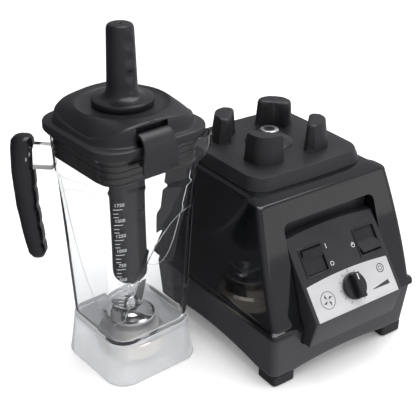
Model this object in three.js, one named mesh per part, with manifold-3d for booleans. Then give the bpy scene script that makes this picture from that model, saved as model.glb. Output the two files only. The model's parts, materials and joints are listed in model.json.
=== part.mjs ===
// Countertop blender: a motor base with its centering pad, and the jar standing on the table beside it.
// Millimetres, +Z up, front towards -Y. The pieces are placed from the drive axis (x = y = 0), and the
// finished group is shifted so that its origin is the middle of its bounding box, at table height.
import * as THREE from 'three';
import { mergeVertices } from 'three/addons/utils/BufferGeometryUtils.js';
import Module from 'manifold-3d';

const wasm = await Module();
wasm.setup();

// ---------------------------------------------------------------------------------------------------
// Driving dimensions
// ---------------------------------------------------------------------------------------------------
const GAP = 0.3; // clearance between pieces that rest on or in each other
const RUN = 0.6; // clearance of a piece that travels past another

const base = {
  halfWidth: 102.5, frontReach: 145.5, backReach: 85, // outside of the bead, from the drive axis
  cornerRadius: 6,
  wall: 3,
  seamHeight: 65, // underside of the upper housing
  rimHeight: 194.6, // edge where the walls turn into the shoulder
  shoulderRise: 3.6,
  beadHeight: 6,
  beadDepth: 3.5,
  sideLean: 9.5, frontLean: 46, backLean: 3, // how far each wall leans in, from bead to rim
  shoulderSide: 9, shoulderFront: 16, shoulderBack: 4, // width of the shoulder
};
const scoop = { depth: 5, radius: 145, y: 54.5, z: 252 }; // hand hold on each side: an arc in the side wall
const skirt = { topInset: 2, bottomInset: 6, archRise: 4.5, sideArchRise: 7 };
const foot = { height: 13, size: 29, inset: 8, screwPocket: 5.2, screwPocketDepth: 5 };
const cover = { height: 21, thickness: 3, ventWidth: 4, ventLength: 46, ventCount: 9, ventPitch: 9 };

const panel = {
  bottomY: -162.7, bottomZ: 81.7, // lower edge of the dial plate, the foremost line of the console
  tilt: THREE.MathUtils.degToRad(52.4), // of the panel from the horizontal
  topZ: 158,
  halfWidth: 61.5,
  wall: 2.6,
  chinY: -154, chinZ: 48, // lower edge of the chin
  backY: -92, chinBackY: -124,
};
const opening = { sideGap: 1.7, topZ: 173.3, cornerRadius: 8, linerWall: 2.8, linerDepth: 14 };
const dial = { halfWidth: 56.9, sideHeight: 39.1, midHeight: 42.3, thickness: 0.8, proud: 0.1 };
const rocker = {
  width: 26.8, halfLength: 13.6, pivotDepth: 3.5, valleyDepth: 1.2, faceAngle: THREE.MathUtils.degToRad(12),
  alongPanel: 62.9, powerX: -35.5, pulseX: 40, backDepth: 8, backHalf: 6,
};
const knob = { x: 0, alongPanel: 22.4, radius: 14.6, discHeight: 5, gripWidth: 8, height: 14, rise: 0.7 };
const potentiometer = { radius: 8.5, depth: 15, bushRadius: 4.5, shaftRadius: 3, shaftReach: 11 };
const reset = { x: 55, y: 35, radius: 5, proud: 4.5, breakerRadius: 8, breakerHeight: 20, travel: 2.5 };
const gland = { x: 55, z: 42, radius: 7, bore: 4, flangeRadius: 10, flangeDepth: 3, depth: 16 };

const motor = {
  shaftRadius: 5,
  hangBelowTop: 17.5, // from the top of the housing down to the top bracket's upper face
  bracketRadius: 50, bracketThickness: 5,
  legRadius: 6, boltX: 41, boltRadius: 2.2,
  topLegLength: 15.7, bottomLegLength: 29.7,
  stackHeight: 42, stackHalfX: 46, stackHalfY: 43, stackCorner: 16, airGap: 1,
  armatureRadius: 27, armatureHeight: 38,
  coilInner: 29, coilOuter: 37, coilOverhang: 8, coilHalfAngle: THREE.MathUtils.degToRad(60),
  commutatorRadius: 13, commutatorHeight: 14,
  bearingRadius: 11, bearingHeight: 7, hubRadius: 14,
  fanRadius: 40, fanHeight: 18, fanBlades: 6,
  shroudRadius: 43, shroudWall: 3, shroudHeight: 26,
};
const socket = { radius: 10.5, height: 15.5, proud: 15, splineRadius: 4.9, splineDepth: 0.9, splineTeeth: 8 };
const pad = {
  topHalfX: 74.5, topHalfY: 71.5, centreY: -2, squareness: 5, thickness: 14, draft: 4.5,
  bossRadius: 27, bossTop: 14.5, bossHeight: 9.5,
};
const post = { height: 30, halfWidth: 21, halfDepth: 13, centre: 53, taper: 2, innerRadius: 42.5, clearance: 0.8 };

const jar = {
  clearOfBase: 78, y: 7.9, // where it stands: distance from the base's side to the jar's axis
  turn: THREE.MathUtils.degToRad(4),
  wall: 3.2,
  floorThickness: 4.2,
  bottomHalf: 48.3, neckHalf: 54.6, bandHalf: 56.6, mouthHalf: 59.4, rimHalf: 62, // half widths, going up
  height: 267.5,
  neckDepth: 67.5, bandDepth: 61.5, rimDepth: 4, // below the mouth: foot and top of the band's step, and the rim
  cornerRadius: 19,
};
const jarFoot = {
  bottomHalf: 55.8, topHalf: 50.9, height: 48.5, cornerRadius: 23, wall: 2.6, plateHeight: 41, plateThickness: 3,
};
const spout = { depth: 34.5, lip: 87.5, halfWidth: 19, wall: 2.6 };
const bracket = {
  start: 71.5, end: 106, halfWidth: 9, bottomDepth: 45.5, topDepth: 21.5, pinRadius: 2.5, pinAt: 100, pinDepth: 33.5,
};
const grip = { halfWidth: 12.5, bottom: 115, topDepth: 11.5 };
const bladeUnit = {
  shaftRadius: 4, bodyRadius: 17.8, flangeRadius: 26, flangeHeight: 3.5, bottom: 20, boreRadius: 9.3,
  nutRadius: 35, nutBottom: 8, nutRimInner: 30, nutRimHeight: 22,
  splineBottom: 4, splineTop: 17, bladeReach: 30, bladeWidth: 15, bladeThickness: 1.6, acornRadius: 8, acornHeight: 12,
};
const lid = {
  flangeHalf: 66, flangeHeight: 9, domeHalf: 60, topHalf: 48, height: 29.5, cornerRadius: 29, domeCorner: 36,
  wellRadius: 43.5, wellDepth: 2.3, holeClearance: 1.3, plugHalf: 51.3, plugDepth: 33, plugWall: 3.2, ceiling: 4,
};
const gasket = { bottomRise: 3, height: 27, ribDepth: 1, ribs: 3, clearance: 0.45 };
const latch = {
  halfWidth: 18, offset: 7.5, // half its width, and how far it stands from the middle of its side
  pocketGap: 0.4, pivotR: 56.2, pivotRise: 7.2, knuckleRadius: 3.2, pinRadius: 1.6, pinBeyond: 2.5,
};
const tamper = {
  shaftRadius: 19, tip: 92, discRadius: 31, discHeight: 7, handleBottom: 15.3, handleTop: 13.6, handleHeight: 79.7,
};

// ---------------------------------------------------------------------------------------------------
// Sizes worked out from the driving ones
// ---------------------------------------------------------------------------------------------------
const topHeight = base.rimHeight + base.shoulderRise;
const padTop = topHeight + GAP + pad.thickness;
const wallHalfWidth = base.halfWidth - base.beadDepth;
const openingHalfWidth = panel.halfWidth + opening.sideGap;
const skirtTop = base.seamHeight - GAP;
const footCentreX = base.halfWidth - foot.inset - foot.size / 2;
const frontFootY = -base.frontReach + foot.inset - 2 + foot.size / 2;
const backFootY = base.backReach - foot.inset + 2 - foot.size / 2;
const footPlaces = {
  front_left: [-footCentreX, frontFootY], front_right: [footCentreX, frontFootY],
  rear_left: [-footCentreX, backFootY], rear_right: [footCentreX, backFootY],
};
const jarBottom = jarFoot.plateHeight + jarFoot.plateThickness + GAP;
const jarFloor = jarBottom + jar.floorThickness;
const neckHeight = jar.height - jar.neckDepth;
const bandHeight = jar.height - jar.bandDepth;
const rimHeight = jar.height - jar.rimDepth;
const lidHoleRadius = tamper.shaftRadius + lid.holeClearance;
const lidBottom = jar.height + GAP;
const lidTop = lidBottom + lid.height;
const wellFloor = lidTop - lid.wellDepth;

// The motor, from the top bracket down
const bracketTop = topHeight - motor.hangBelowTop;
const bracketUnderside = bracketTop - motor.bracketThickness;
const stackTop = bracketUnderside - motor.topLegLength - GAP;
const stackBottom = stackTop - motor.stackHeight;
const lowerBracketTop = stackBottom - GAP - motor.bottomLegLength;
const lowerBracketBottom = lowerBracketTop - motor.bracketThickness + 1;
const fanTop = lowerBracketBottom - 4;
const shaftBottom = fanTop - motor.fanHeight - 2;

// ---------------------------------------------------------------------------------------------------
// Geometry helpers
// ---------------------------------------------------------------------------------------------------
const ALONG_X = new THREE.Matrix4().makeBasis(
  new THREE.Vector3(0, 1, 0), new THREE.Vector3(0, 0, 1), new THREE.Vector3(1, 0, 0));
const ALONG_MINUS_Y = new THREE.Matrix4().makeBasis(
  new THREE.Vector3(1, 0, 0), new THREE.Vector3(0, 0, 1), new THREE.Vector3(0, -1, 0));

/** A closed three.js mesh as a solid that can be joined and cut. */
function solid(geometry) {
  const bare = geometry.clone();
  bare.deleteAttribute('normal');
  bare.deleteAttribute('uv');
  const merged = mergeVertices(bare, 1e-4);
  const points = merged.getAttribute('position');
  const corners = [];
  let volume = 0;
  const [a, b, c] = [new THREE.Vector3(), new THREE.Vector3(), new THREE.Vector3()];
  for (let i = 0; i < merged.index.count; i += 3) {
    const [p, q, r] = [0, 1, 2].map((k) => merged.index.getX(i + k));
    if (p !== q && q !== r && r !== p) {
      corners.push(p, q, r);
      a.fromBufferAttribute(points, p);
      b.fromBufferAttribute(points, q);
      c.fromBufferAttribute(points, r);
      volume += a.dot(b.cross(c));
    }
  }
  if (volume < 0) corners.reverse();
  return new wasm.Manifold(new wasm.Mesh({
    numProp: 3, vertProperties: new Float32Array(points.array), triVerts: new Uint32Array(corners),
  }));
}

const join = (first, ...others) => others.reduce((sum, next) => sum.add(next), first);
const cut = (first, ...tools) => tools.reduce((rest, tool) => rest.subtract(tool), first);

/** A named mesh from a solid. */
function piece(name, body, material) {
  const { vertProperties, triVerts } = body.getMesh();
  const geometry = new THREE.BufferGeometry();
  geometry.setAttribute('position', new THREE.BufferAttribute(new Float32Array(vertProperties), 3));
  geometry.setIndex(new THREE.BufferAttribute(new Uint32Array(triVerts), 1));
  geometry.computeVertexNormals();
  const mesh = new THREE.Mesh(geometry, material);
  mesh.name = name;
  return mesh;
}

/** A box between two corners. */
function box(x0, x1, y0, y1, z0, z1) {
  const geometry = new THREE.BoxGeometry(x1 - x0, y1 - y0, z1 - z0);
  return geometry.translate((x0 + x1) / 2, (y0 + y1) / 2, (z0 + z1) / 2);
}

/** A round bar standing from z0 to z1. */
function rod(radius, z0, z1, x = 0, y = 0, segments = 16) {
  const geometry = new THREE.CylinderGeometry(radius, radius, z1 - z0, segments);
  return geometry.rotateX(Math.PI / 2).translate(x, y, (z0 + z1) / 2);
}

/** A piece turned about the Z axis from [radius, z] points. A ring's points close on themselves. */
function turned(points, { ring = false, segments = 24 } = {}) {
  const outline = points.map(([radius, z]) => new THREE.Vector2(radius, z));
  if (ring) outline.push(outline[0].clone());
  return new THREE.LatheGeometry(outline, segments).rotateX(Math.PI / 2);
}

const outlineOf = (points) => new THREE.Shape(points.map(([u, v]) => new THREE.Vector2(u, v)));

/** An outline pulled straight up from z0 to z1. */
function plate(shape, z0, z1, curveSegments = 12) {
  const geometry = new THREE.ExtrudeGeometry(shape, { depth: z1 - z0, bevelEnabled: false, curveSegments });
  return geometry.translate(0, 0, z0);
}

/** An outline in (y, z) pulled along X. */
const alongX = (shape, x0, x1, curveSegments) => plate(shape, x0, x1, curveSegments).applyMatrix4(ALONG_X);
/** An outline in (x, z) pulled along Y. */
const alongY = (shape, y0, y1, curveSegments) => plate(shape, -y1, -y0, curveSegments).applyMatrix4(ALONG_MINUS_Y);

/** A horizontal section: a rounded rectangle written as a superellipse with the given corner radius. */
function section(z, halfX, halfY, cornerRadius, x = 0, y = 0) {
  const half = Math.min(halfX, halfY);
  const cornerCut = (1 - Math.SQRT1_2) * Math.min(cornerRadius, half);
  return { z, halfX, halfY, x, y, power: (2 * Math.log(1 - cornerCut / half)) / Math.log(0.5) };
}

/** A closed solid through stacked sections. */
function loft(sections, count = 24) {
  const circle = new THREE.Shape();
  for (let i = 0; i < count; i += 1) {
    const angle = (i / count) * 2 * Math.PI;
    if (i === 0) circle.moveTo(1, 0);
    else circle.lineTo(Math.cos(angle), Math.sin(angle));
  }
  const steps = sections.length - 1;
  const geometry = new THREE.ExtrudeGeometry(circle, { depth: steps, steps, bevelEnabled: false });
  const position = geometry.getAttribute('position');
  const spread = (value, power) => (Math.abs(value) < 1e-5 ? 0 : Math.sign(value) * Math.abs(value) ** power);
  for (let i = 0; i < position.count; i += 1) {
    const level = sections[Math.round(position.getZ(i))];
    position.setXYZ(
      i,
      level.x + level.halfX * spread(position.getX(i), level.power),
      level.y + level.halfY * spread(position.getY(i), level.power),
      level.z,
    );
  }
  return geometry;
}

/** The section of a square piece with rounded corners. */
const squareSection = (z, half, cornerRadius) => section(z, half, half, cornerRadius);

/** A star-shaped outline for splines. */
function splineShape(radius, depth, teeth) {
  const points = [];
  for (let i = 0; i < teeth * 4; i += 1) {
    const angle = (i / (teeth * 4)) * 2 * Math.PI;
    const reach = i % 4 < 2 ? radius : radius - depth;
    points.push([reach * Math.cos(angle), reach * Math.sin(angle)]);
  }
  return outlineOf(points);
}

// ---------------------------------------------------------------------------------------------------
// Finishes
// ---------------------------------------------------------------------------------------------------
const finish = (color, roughness, metalness = 0) => new THREE.MeshStandardMaterial({ color, roughness, metalness });
const glossBlack = () => finish('#0d0e10', 0.12);
const satinGrey = () => finish('#33343a', 0.45);
const matteCharcoal = () => finish('#2f3134', 0.62);
const satinBlack = () => finish('#17181a', 0.4);
const rubberBlack = () => finish('#141414', 0.8);
const clearPlastic = () => finish('#e9eef2', 0.05);
const frostedWhite = () => finish('#e6e8ea', 0.6);
const steel = () => finish('#b9bcc0', 0.3, 1);
const copper = () => finish('#b06a3b', 0.4, 1);
const darkPlastic = () => finish('#202225', 0.6);

// ---------------------------------------------------------------------------------------------------
// Upper housing
// ---------------------------------------------------------------------------------------------------
/** The housing's section at a height, moved in from its outer face by separate side and front insets. */
function housingSection(z, sideInset = 0, frontInset = 0) {
  const share = THREE.MathUtils.clamp((z - base.seamHeight) / (base.rimHeight - base.seamHeight), 0, 1);
  const halfX = wallHalfWidth - base.sideLean * share ** 2 - sideInset;
  const front = -(base.frontReach - base.beadDepth) + base.frontLean * share ** 1.1 + frontInset;
  const back = base.backReach - base.beadDepth + 2 - base.backLean * share ** 2 - frontInset;
  return section(z, halfX, (back - front) / 2, base.cornerRadius, 0, (back + front) / 2);
}

const housingShares = [0.05, 0.35, 0.65, 0.85, 1];
const housingHeights = housingShares.map((share) =>
  THREE.MathUtils.lerp(base.seamHeight, base.rimHeight, share));

function shoulderSection() {
  const rim = housingSection(base.rimHeight);
  const front = rim.y - rim.halfY + base.shoulderFront;
  const back = rim.y + rim.halfY - base.shoulderBack;
  const halfX = rim.halfX - base.shoulderSide;
  return section(topHeight, halfX, (back - front) / 2, base.cornerRadius + 4, 0, (back + front) / 2);
}

function outerHousing() {
  const rim = housingSection(base.rimHeight);
  const bend = { ...rim, z: base.rimHeight + base.shoulderRise * 0.55, halfX: rim.halfX - 2.5, halfY: rim.halfY - 2.5 };
  const walls = housingHeights.map((z) => housingSection(z));
  return loft([{ ...walls[0], z: base.seamHeight }, ...walls, bend, shoulderSection()]);
}

function bead() {
  const half = (base.frontReach + base.backReach) / 2;
  const middle = (base.backReach - base.frontReach) / 2;
  const at = (z, inset) => section(z, base.halfWidth - inset, half - inset, base.cornerRadius + 2, 0, middle);
  const top = base.seamHeight + base.beadHeight;
  return loft([at(base.seamHeight, 0.6), at(base.seamHeight + 1, 0), at(top - 2.5, 0), at(top, 2)]);
}

function innerHousing() {
  const sideInset = base.wall + scoop.depth;
  const levels = [base.seamHeight - 5, ...housingHeights.slice(1, 4)];
  const sections = levels.map((z) => housingSection(z, sideInset, base.wall));
  const crown = housingSection(base.rimHeight, sideInset + 1, base.wall);
  return loft([...sections, { ...crown, z: topHeight - base.wall }]);
}

/** Everything inside the scoop's arc and outside the recessed side wall, on both sides. */
function sideScoops() {
  const arc = new THREE.Shape().absarc(scoop.y, scoop.z, scoop.radius, 0, 2 * Math.PI);
  const disc = solid(alongX(arc, -base.halfWidth - 5, base.halfWidth + 5, 16));
  const heights = [base.seamHeight, ...housingHeights.slice(1), topHeight + 5];
  return cut(disc, solid(loft(heights.map((z) => housingSection(z, scoop.depth, -20)))));
}

function openingShape(margin) {
  const half = openingHalfWidth + margin;
  const top = opening.topZ + margin;
  const radius = opening.cornerRadius + margin;
  const low = panel.chinZ - 1.5 - margin;
  const shape = new THREE.Shape();
  shape.moveTo(-half, low);
  shape.lineTo(half, low);
  shape.lineTo(half, top - radius);
  shape.absarc(half - radius, top - radius, radius, 0, Math.PI / 2);
  shape.lineTo(-half + radius, top);
  shape.absarc(-half + radius, top - radius, radius, Math.PI / 2, Math.PI);
  return shape;
}

const openingPrism = (margin = 0) => solid(alongY(openingShape(margin), -base.frontReach - 30, panel.backY + 12, 4));

/** Solid corner that a housing screw is driven into. */
function cornerBosses(z0, z1) {
  const half = foot.size / 2;
  return Object.values(footPlaces).map(([x, y]) => {
    const outX = Math.sign(x) * 20;
    const outY = Math.sign(y) * 20;
    return solid(box(
      Math.min(x - half, x + outX), Math.max(x + half, x + outX),
      Math.min(y - half, y + outY), Math.max(y + half, y + outY), z0, z1));
  });
}

const screwHoles = (radius, z0, z1) =>
  Object.values(footPlaces).map(([x, y]) => solid(rod(radius, z0, z1, x, y, 10)));

function upperHousing() {
  const outer = solid(outerHousing());
  const bosses = cornerBosses(base.seamHeight, base.seamHeight + 22).map((boss) => boss.intersect(outer));
  const behindLiner = solid(loft([base.seamHeight - 5, ...housingHeights.slice(1), topHeight + 5].map((z) =>
    housingSection(z, -10, opening.linerDepth))));
  const liner = cut(openingPrism(opening.linerWall).intersect(outer), behindLiner);
  const boltBosses = [-1, 1].map((side) =>
    solid(rod(7, bracketTop + GAP, topHeight - base.wall + 0.5, side * motor.boltX, 0, 12)));
  const shell = cut(join(outer, solid(bead())), solid(innerHousing()), sideScoops());
  return cut(
    join(shell, ...bosses, liner, ...boltBosses),
    openingPrism(),
    solid(rod(socket.radius + 3.5, topHeight - 10, topHeight + 5)),
    ...screwHoles(2.5, base.seamHeight - 1, base.seamHeight + 19),
    ...[-1, 1].map((side) =>
      solid(rod(motor.boltRadius + GAP, bracketTop - 1, bracketTop + 11, side * motor.boltX, 0, 16))),
  );
}

// ---------------------------------------------------------------------------------------------------
// Lower housing, bottom cover and feet
// ---------------------------------------------------------------------------------------------------
function skirtSection(z, inset = 0) {
  const share = (z - foot.height) / (skirtTop - foot.height);
  const lean = THREE.MathUtils.lerp(skirt.bottomInset, skirt.topInset, share) + inset;
  const front = -base.frontReach + lean;
  const back = base.backReach - lean;
  return section(z, base.halfWidth - lean, (back - front) / 2, base.cornerRadius, 0, (back + front) / 2);
}

/** The shallow arch under one wall, as a disc's edge rising between the feet. */
function archShape(middle, halfSpan, rise) {
  const radius = (halfSpan ** 2 + rise ** 2) / (2 * rise);
  const halfAngle = Math.asin(halfSpan / radius);
  const shape = new THREE.Shape();
  shape.moveTo(middle + halfSpan, foot.height - 3);
  shape.lineTo(middle + halfSpan, foot.height);
  shape.absarc(middle, foot.height + rise - radius, radius, Math.PI / 2 - halfAngle, Math.PI / 2 + halfAngle);
  shape.lineTo(middle - halfSpan, foot.height - 3);
  return shape;
}

function arches() {
  const across = footCentreX - foot.size / 2;
  const middleY = (frontFootY + backFootY) / 2;
  const alongHalf = (backFootY - frontFootY - foot.size) / 2;
  return [
    solid(alongY(archShape(0, across, skirt.archRise), -base.frontReach - 5, base.backReach + 5, 6)),
    solid(alongX(archShape(middleY, alongHalf, skirt.sideArchRise), -base.halfWidth - 5, base.halfWidth + 5, 6)),
  ];
}

function lowerHousing() {
  const middle = (foot.height + skirtTop) / 2;
  const outer = solid(loft([foot.height, middle, skirtTop].map((z) => skirtSection(z))));
  const inner = solid(loft([foot.height - 2, middle, skirtTop + 2].map((z) => skirtSection(z, base.wall))));
  const bosses = cornerBosses(foot.height, skirtTop).map((boss) => boss.intersect(outer));
  const glandHole = solid(rod(gland.radius + GAP, -base.backReach - 5, -base.backReach + 25, gland.x, gland.z)
    .rotateX(Math.PI / 2));
  return cut(
    join(cut(outer, inner), ...bosses),
    ...arches(),
    openingPrism(),
    glandHole,
    ...screwHoles(2.5, foot.height - 1, skirtTop + 1),
  );
}

function bottomCover() {
  const levels = [cover.height, cover.height + cover.thickness];
  const sheet = solid(loft(levels.map((z) => skirtSection(z, base.wall + GAP))));
  const vents = [];
  for (let i = 0; i < cover.ventCount; i += 1) {
    const x = (i - (cover.ventCount - 1) / 2) * cover.ventPitch;
    const half = cover.ventWidth / 2;
    vents.push(solid(box(x - half, x + half, -cover.ventLength / 2, cover.ventLength / 2, 0, 60)));
  }
  const half = foot.size / 2 + GAP;
  const corners = Object.values(footPlaces).map(([x, y]) => solid(box(
    Math.min(x - half, x + Math.sign(x) * 30), Math.max(x + half, x + Math.sign(x) * 30),
    Math.min(y - half, y + Math.sign(y) * 30), Math.max(y + half, y + Math.sign(y) * 30), 0, 60)));
  return cut(sheet, ...vents, ...corners, solid(rod(reset.radius + 0.5, 0, 60, reset.x, reset.y)));
}

function footBlock(x, y) {
  const half = foot.size / 2;
  const block = loft([[0, 1.5], [1.5, 0], [foot.height - GAP, 0]].map(([z, inset]) =>
    section(z, half - inset, half - inset, 4, x, y)), 16);
  const pocket = rod(foot.screwPocket, foot.height - foot.screwPocketDepth, foot.height + 5, x, y, 12);
  return cut(solid(block), solid(pocket));
}

function housingScrew(x, y) {
  const headTop = foot.height - GAP;
  const head = rod(4.2, headTop - 3, headTop, x, y, 12);
  const shank = rod(2, headTop - 0.5, base.seamHeight + 18, x, y, 8);
  const slot = box(x - 5, x + 5, y - 0.5, y + 0.5, headTop - 4, headTop - 2);
  return cut(join(solid(head), solid(shank)), solid(slot));
}

function cordGland() {
  const outside = base.backReach + gland.flangeDepth;
  const inside = outside - gland.depth;
  const bush = turned([
    [gland.bore, inside], [gland.radius, inside], [gland.radius, base.backReach],
    [gland.flangeRadius, base.backReach], [gland.flangeRadius - 1.5, outside], [gland.bore, outside],
  ], { ring: true, segments: 20 });
  return solid(bush.rotateX(-Math.PI / 2).translate(gland.x, 0, gland.z));
}

// ---------------------------------------------------------------------------------------------------
// Control console
// ---------------------------------------------------------------------------------------------------
// The panel frame: x to the right, y up along the panel, z out of it, from the dial plate's lower edge.
const panelMatrix = new THREE.Matrix4()
  .makeTranslation(0, panel.bottomY, panel.bottomZ)
  .multiply(new THREE.Matrix4().makeRotationX(panel.tilt));
const onPanel = (geometry) => solid(geometry.applyMatrix4(panelMatrix));
const panelY = (z) => panel.bottomY + (z - panel.bottomZ) / Math.tan(panel.tilt);

function dialShape(margin) {
  const half = dial.halfWidth + margin;
  const low = -margin;
  const shape = new THREE.Shape();
  shape.moveTo(-half, low);
  shape.lineTo(half, low);
  shape.lineTo(half, dial.sideHeight + margin);
  shape.quadraticCurveTo(0, 2 * dial.midHeight - dial.sideHeight + margin, -half, dial.sideHeight + margin);
  return shape;
}

function controlConsole() {
  const { wall, halfWidth } = panel;
  const intoWall = wall / Math.sin(panel.tilt);
  const outline = outlineOf([
    [panelY(panel.topZ), panel.topZ], [panel.bottomY, panel.bottomZ], [panel.chinY, panel.chinZ],
    [panel.chinBackY, panel.chinZ], [panel.backY, panel.topZ - 8], [panel.backY, panel.topZ],
  ]);
  const hollow = outlineOf([
    [panelY(panel.topZ - wall) + intoWall, panel.topZ - wall],
    [panel.bottomY + intoWall, panel.bottomZ - 0.5], [panel.chinY + wall, panel.chinZ + wall],
    [panel.chinBackY + 20, panel.chinZ + wall], [panel.backY + 20, panel.topZ - wall],
  ]);
  const shell = cut(
    solid(alongX(outline, -halfWidth, halfWidth)),
    solid(alongX(hollow, -halfWidth + wall, halfWidth - wall)),
  );
  const apron = solid(box(
    -halfWidth, halfWidth, panel.backY - wall, panel.backY, panel.topZ - 4, opening.topZ - GAP - opening.cornerRadius));
  const apronTop = solid(box(
    -halfWidth + opening.cornerRadius, halfWidth - opening.cornerRadius, panel.backY - wall, panel.backY,
    panel.topZ - 4, opening.topZ - GAP));
  const switchHoles = [rocker.powerX, rocker.pulseX].map((x) => onPanel(box(
    x - rocker.width / 2 - RUN, x + rocker.width / 2 + RUN,
    rocker.alongPanel - rocker.halfLength - RUN, rocker.alongPanel + rocker.halfLength + RUN, -10, 10)));
  return cut(
    join(shell, apron, apronTop),
    ...switchHoles,
    onPanel(plate(dialShape(GAP), dial.proud - dial.thickness - GAP, 20, 10)),
    onPanel(rod(potentiometer.bushRadius + GAP, -10, 10, knob.x, knob.alongPanel, 12)),
  );
}

/** The dial plate, in the panel frame. */
function dialPlate() {
  return cut(
    solid(plate(dialShape(0), dial.proud - dial.thickness, dial.proud, 10)),
    solid(rod(potentiometer.bushRadius + 2 * GAP, -5, 5, knob.x, knob.alongPanel, 12)),
  );
}

/** A rocker about its own pivot: y up along the panel, z out of it. */
function rockerBody() {
  const { halfLength, faceAngle, valleyDepth, pivotDepth, backDepth, backHalf } = rocker;
  const valley = pivotDepth - valleyDepth;
  // where each face meets the round end that is centred on the pivot
  const slope = Math.tan(faceAngle);
  const reach = (-valley * slope + Math.sqrt(halfLength ** 2 * (1 + slope ** 2) - valley ** 2)) / (1 + slope ** 2);
  const endAngle = Math.atan2(valley + slope * reach, reach);
  const shape = new THREE.Shape();
  shape.moveTo(0, valley);
  shape.lineTo(-reach, valley + slope * reach);
  shape.absarc(0, 0, halfLength, Math.PI - endAngle, Math.PI + 0.12);
  shape.lineTo(-backHalf, pivotDepth - backDepth);
  shape.lineTo(backHalf, pivotDepth - backDepth);
  shape.absarc(0, 0, halfLength, -0.12, endAngle);
  return solid(alongX(shape, -rocker.width / 2, rocker.width / 2, 5));
}

/** A switch's box behind its rocker, in the panel frame. */
function switchBody(x) {
  const room = RUN + 0.1;
  const halfX = rocker.width / 2 + room;
  const halfY = rocker.halfLength + room;
  const front = -panel.wall - GAP;
  const floor = -rocker.backDepth - 3;
  const y = rocker.alongPanel;
  return cut(
    solid(box(x - halfX - 2, x + halfX + 2, y - halfY - 2, y + halfY + 2, floor - 18, front)),
    solid(box(x - halfX, x + halfX, y - halfY, y + halfY, floor, 5)),
  );
}

/** The speed knob about its own axis: z out of the panel. */
function speedKnob() {
  const { radius, discHeight, height, rise, gripWidth } = knob;
  const disc = turned([
    [0, rise], [radius, rise], [radius, rise + discHeight - 1], [radius - 1, rise + discHeight],
    [0, rise + discHeight],
  ], { segments: 28 });
  const grip = solid(box(-gripWidth / 2, gripWidth / 2, -radius, radius, rise + 1, height))
    .intersect(solid(rod(radius - 0.8, 0, height + 1, 0, 0, 28)));
  const bore = rod(potentiometer.shaftRadius + GAP, 0, potentiometer.shaftReach + 0.5, 0, 0, 12);
  const bushRoom = rod(potentiometer.bushRadius + RUN, 0, 2.2, 0, 0, 12);
  return cut(join(solid(disc), grip), solid(bore), solid(bushRoom));
}

/** The potentiometer behind the panel, about the knob's axis. */
function potentiometerBody() {
  const back = -panel.wall - GAP;
  return solid(turned([
    [0, back - potentiometer.depth], [potentiometer.radius, back - potentiometer.depth], [potentiometer.radius, back],
    [potentiometer.bushRadius, back], [potentiometer.bushRadius, 1.4], [potentiometer.shaftRadius, 1.4],
    [potentiometer.shaftRadius, potentiometer.shaftReach], [0, potentiometer.shaftReach],
  ], { segments: 12 }));
}

// ---------------------------------------------------------------------------------------------------
// Electrics on the bottom cover
// ---------------------------------------------------------------------------------------------------
const coverTop = cover.height + cover.thickness + GAP;

function controlBoard() {
  const low = coverTop + 6;
  const middleY = panel.chinBackY + 24;
  const board = solid(box(-38, 38, middleY - 20, middleY + 20, low, low + 1.6));
  const legs = [[-34, -16], [34, -16], [-34, 16], [34, 16]].map(([x, y]) =>
    solid(rod(3, coverTop, low + 0.5, x, middleY + y, 8)));
  const heatSink = solid(box(-30, -4, middleY - 14, middleY - 2, low + 1, low + 22));
  const capacitor = solid(rod(6, low + 1, low + 20, 14, middleY + 6, 12));
  const relay = solid(box(22, 34, middleY - 15, middleY - 1, low + 1, low + 16));
  return join(board, ...legs, heatSink, capacitor, relay);
}

function overloadBreaker() {
  const can = rod(reset.breakerRadius, coverTop, coverTop + reset.breakerHeight, reset.x, reset.y, 16);
  const bore = rod(reset.radius + 0.5, coverTop - 1, coverTop + reset.travel + 3, reset.x, reset.y, 16);
  return cut(solid(can), solid(bore));
}

const resetButton = () =>
  solid(rod(reset.radius, cover.height - reset.proud, coverTop + 1.5, reset.x, reset.y, 16));

// ---------------------------------------------------------------------------------------------------
// Motor
// ---------------------------------------------------------------------------------------------------
const boltHoles = () => [-1, 1].map((side) =>
  solid(rod(motor.boltRadius + GAP, 0, topHeight + 40, side * motor.boltX, 0, 10)));
const boltLegs = (z0, z1) => [-1, 1].map((side) => solid(rod(motor.legRadius, z0, z1, side * motor.boltX, 0, 12)));

function motorBracket(plateBottom, plateTop, legBottom, legTop) {
  const disc = solid(rod(motor.bracketRadius, plateBottom, plateTop, 0, 0, 20));
  const middle = (plateBottom + plateTop) / 2;
  const half = motor.bearingHeight / 2 + 0.6;
  const hub = solid(rod(motor.hubRadius, middle - half, middle + half));
  const windows = [45, 135, 225, 315].map((degrees) => {
    const angle = THREE.MathUtils.degToRad(degrees);
    return solid(rod(10, plateBottom - 5, plateTop + 5, 31 * Math.cos(angle), 31 * Math.sin(angle), 8));
  });
  return cut(
    join(disc, hub, ...boltLegs(legBottom, legTop)),
    solid(rod(motor.bearingRadius + GAP, middle - 20, middle + 20)),
    ...windows, ...boltHoles(),
  );
}

function motorBearing(plateBottom, plateTop) {
  const middle = (plateBottom + plateTop) / 2;
  const half = motor.bearingHeight / 2;
  const bore = motor.shaftRadius + GAP;
  return solid(turned([
    [bore, middle - half], [motor.bearingRadius, middle - half],
    [motor.bearingRadius, middle + half], [bore, middle + half],
  ], { ring: true, segments: 20 }));
}

/** A pillar with the plan of a ring sector, centred on +Y or -Y. */
function coilSolid(side, inner, outer, halfAngle, z0, z1) {
  const start = (side * Math.PI) / 2 - halfAngle;
  const end = (side * Math.PI) / 2 + halfAngle;
  const shape = new THREE.Shape();
  shape.absarc(0, 0, outer, start, end);
  shape.absarc(0, 0, inner, end, start, true);
  return solid(plate(shape, z0, z1, 8));
}

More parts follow.
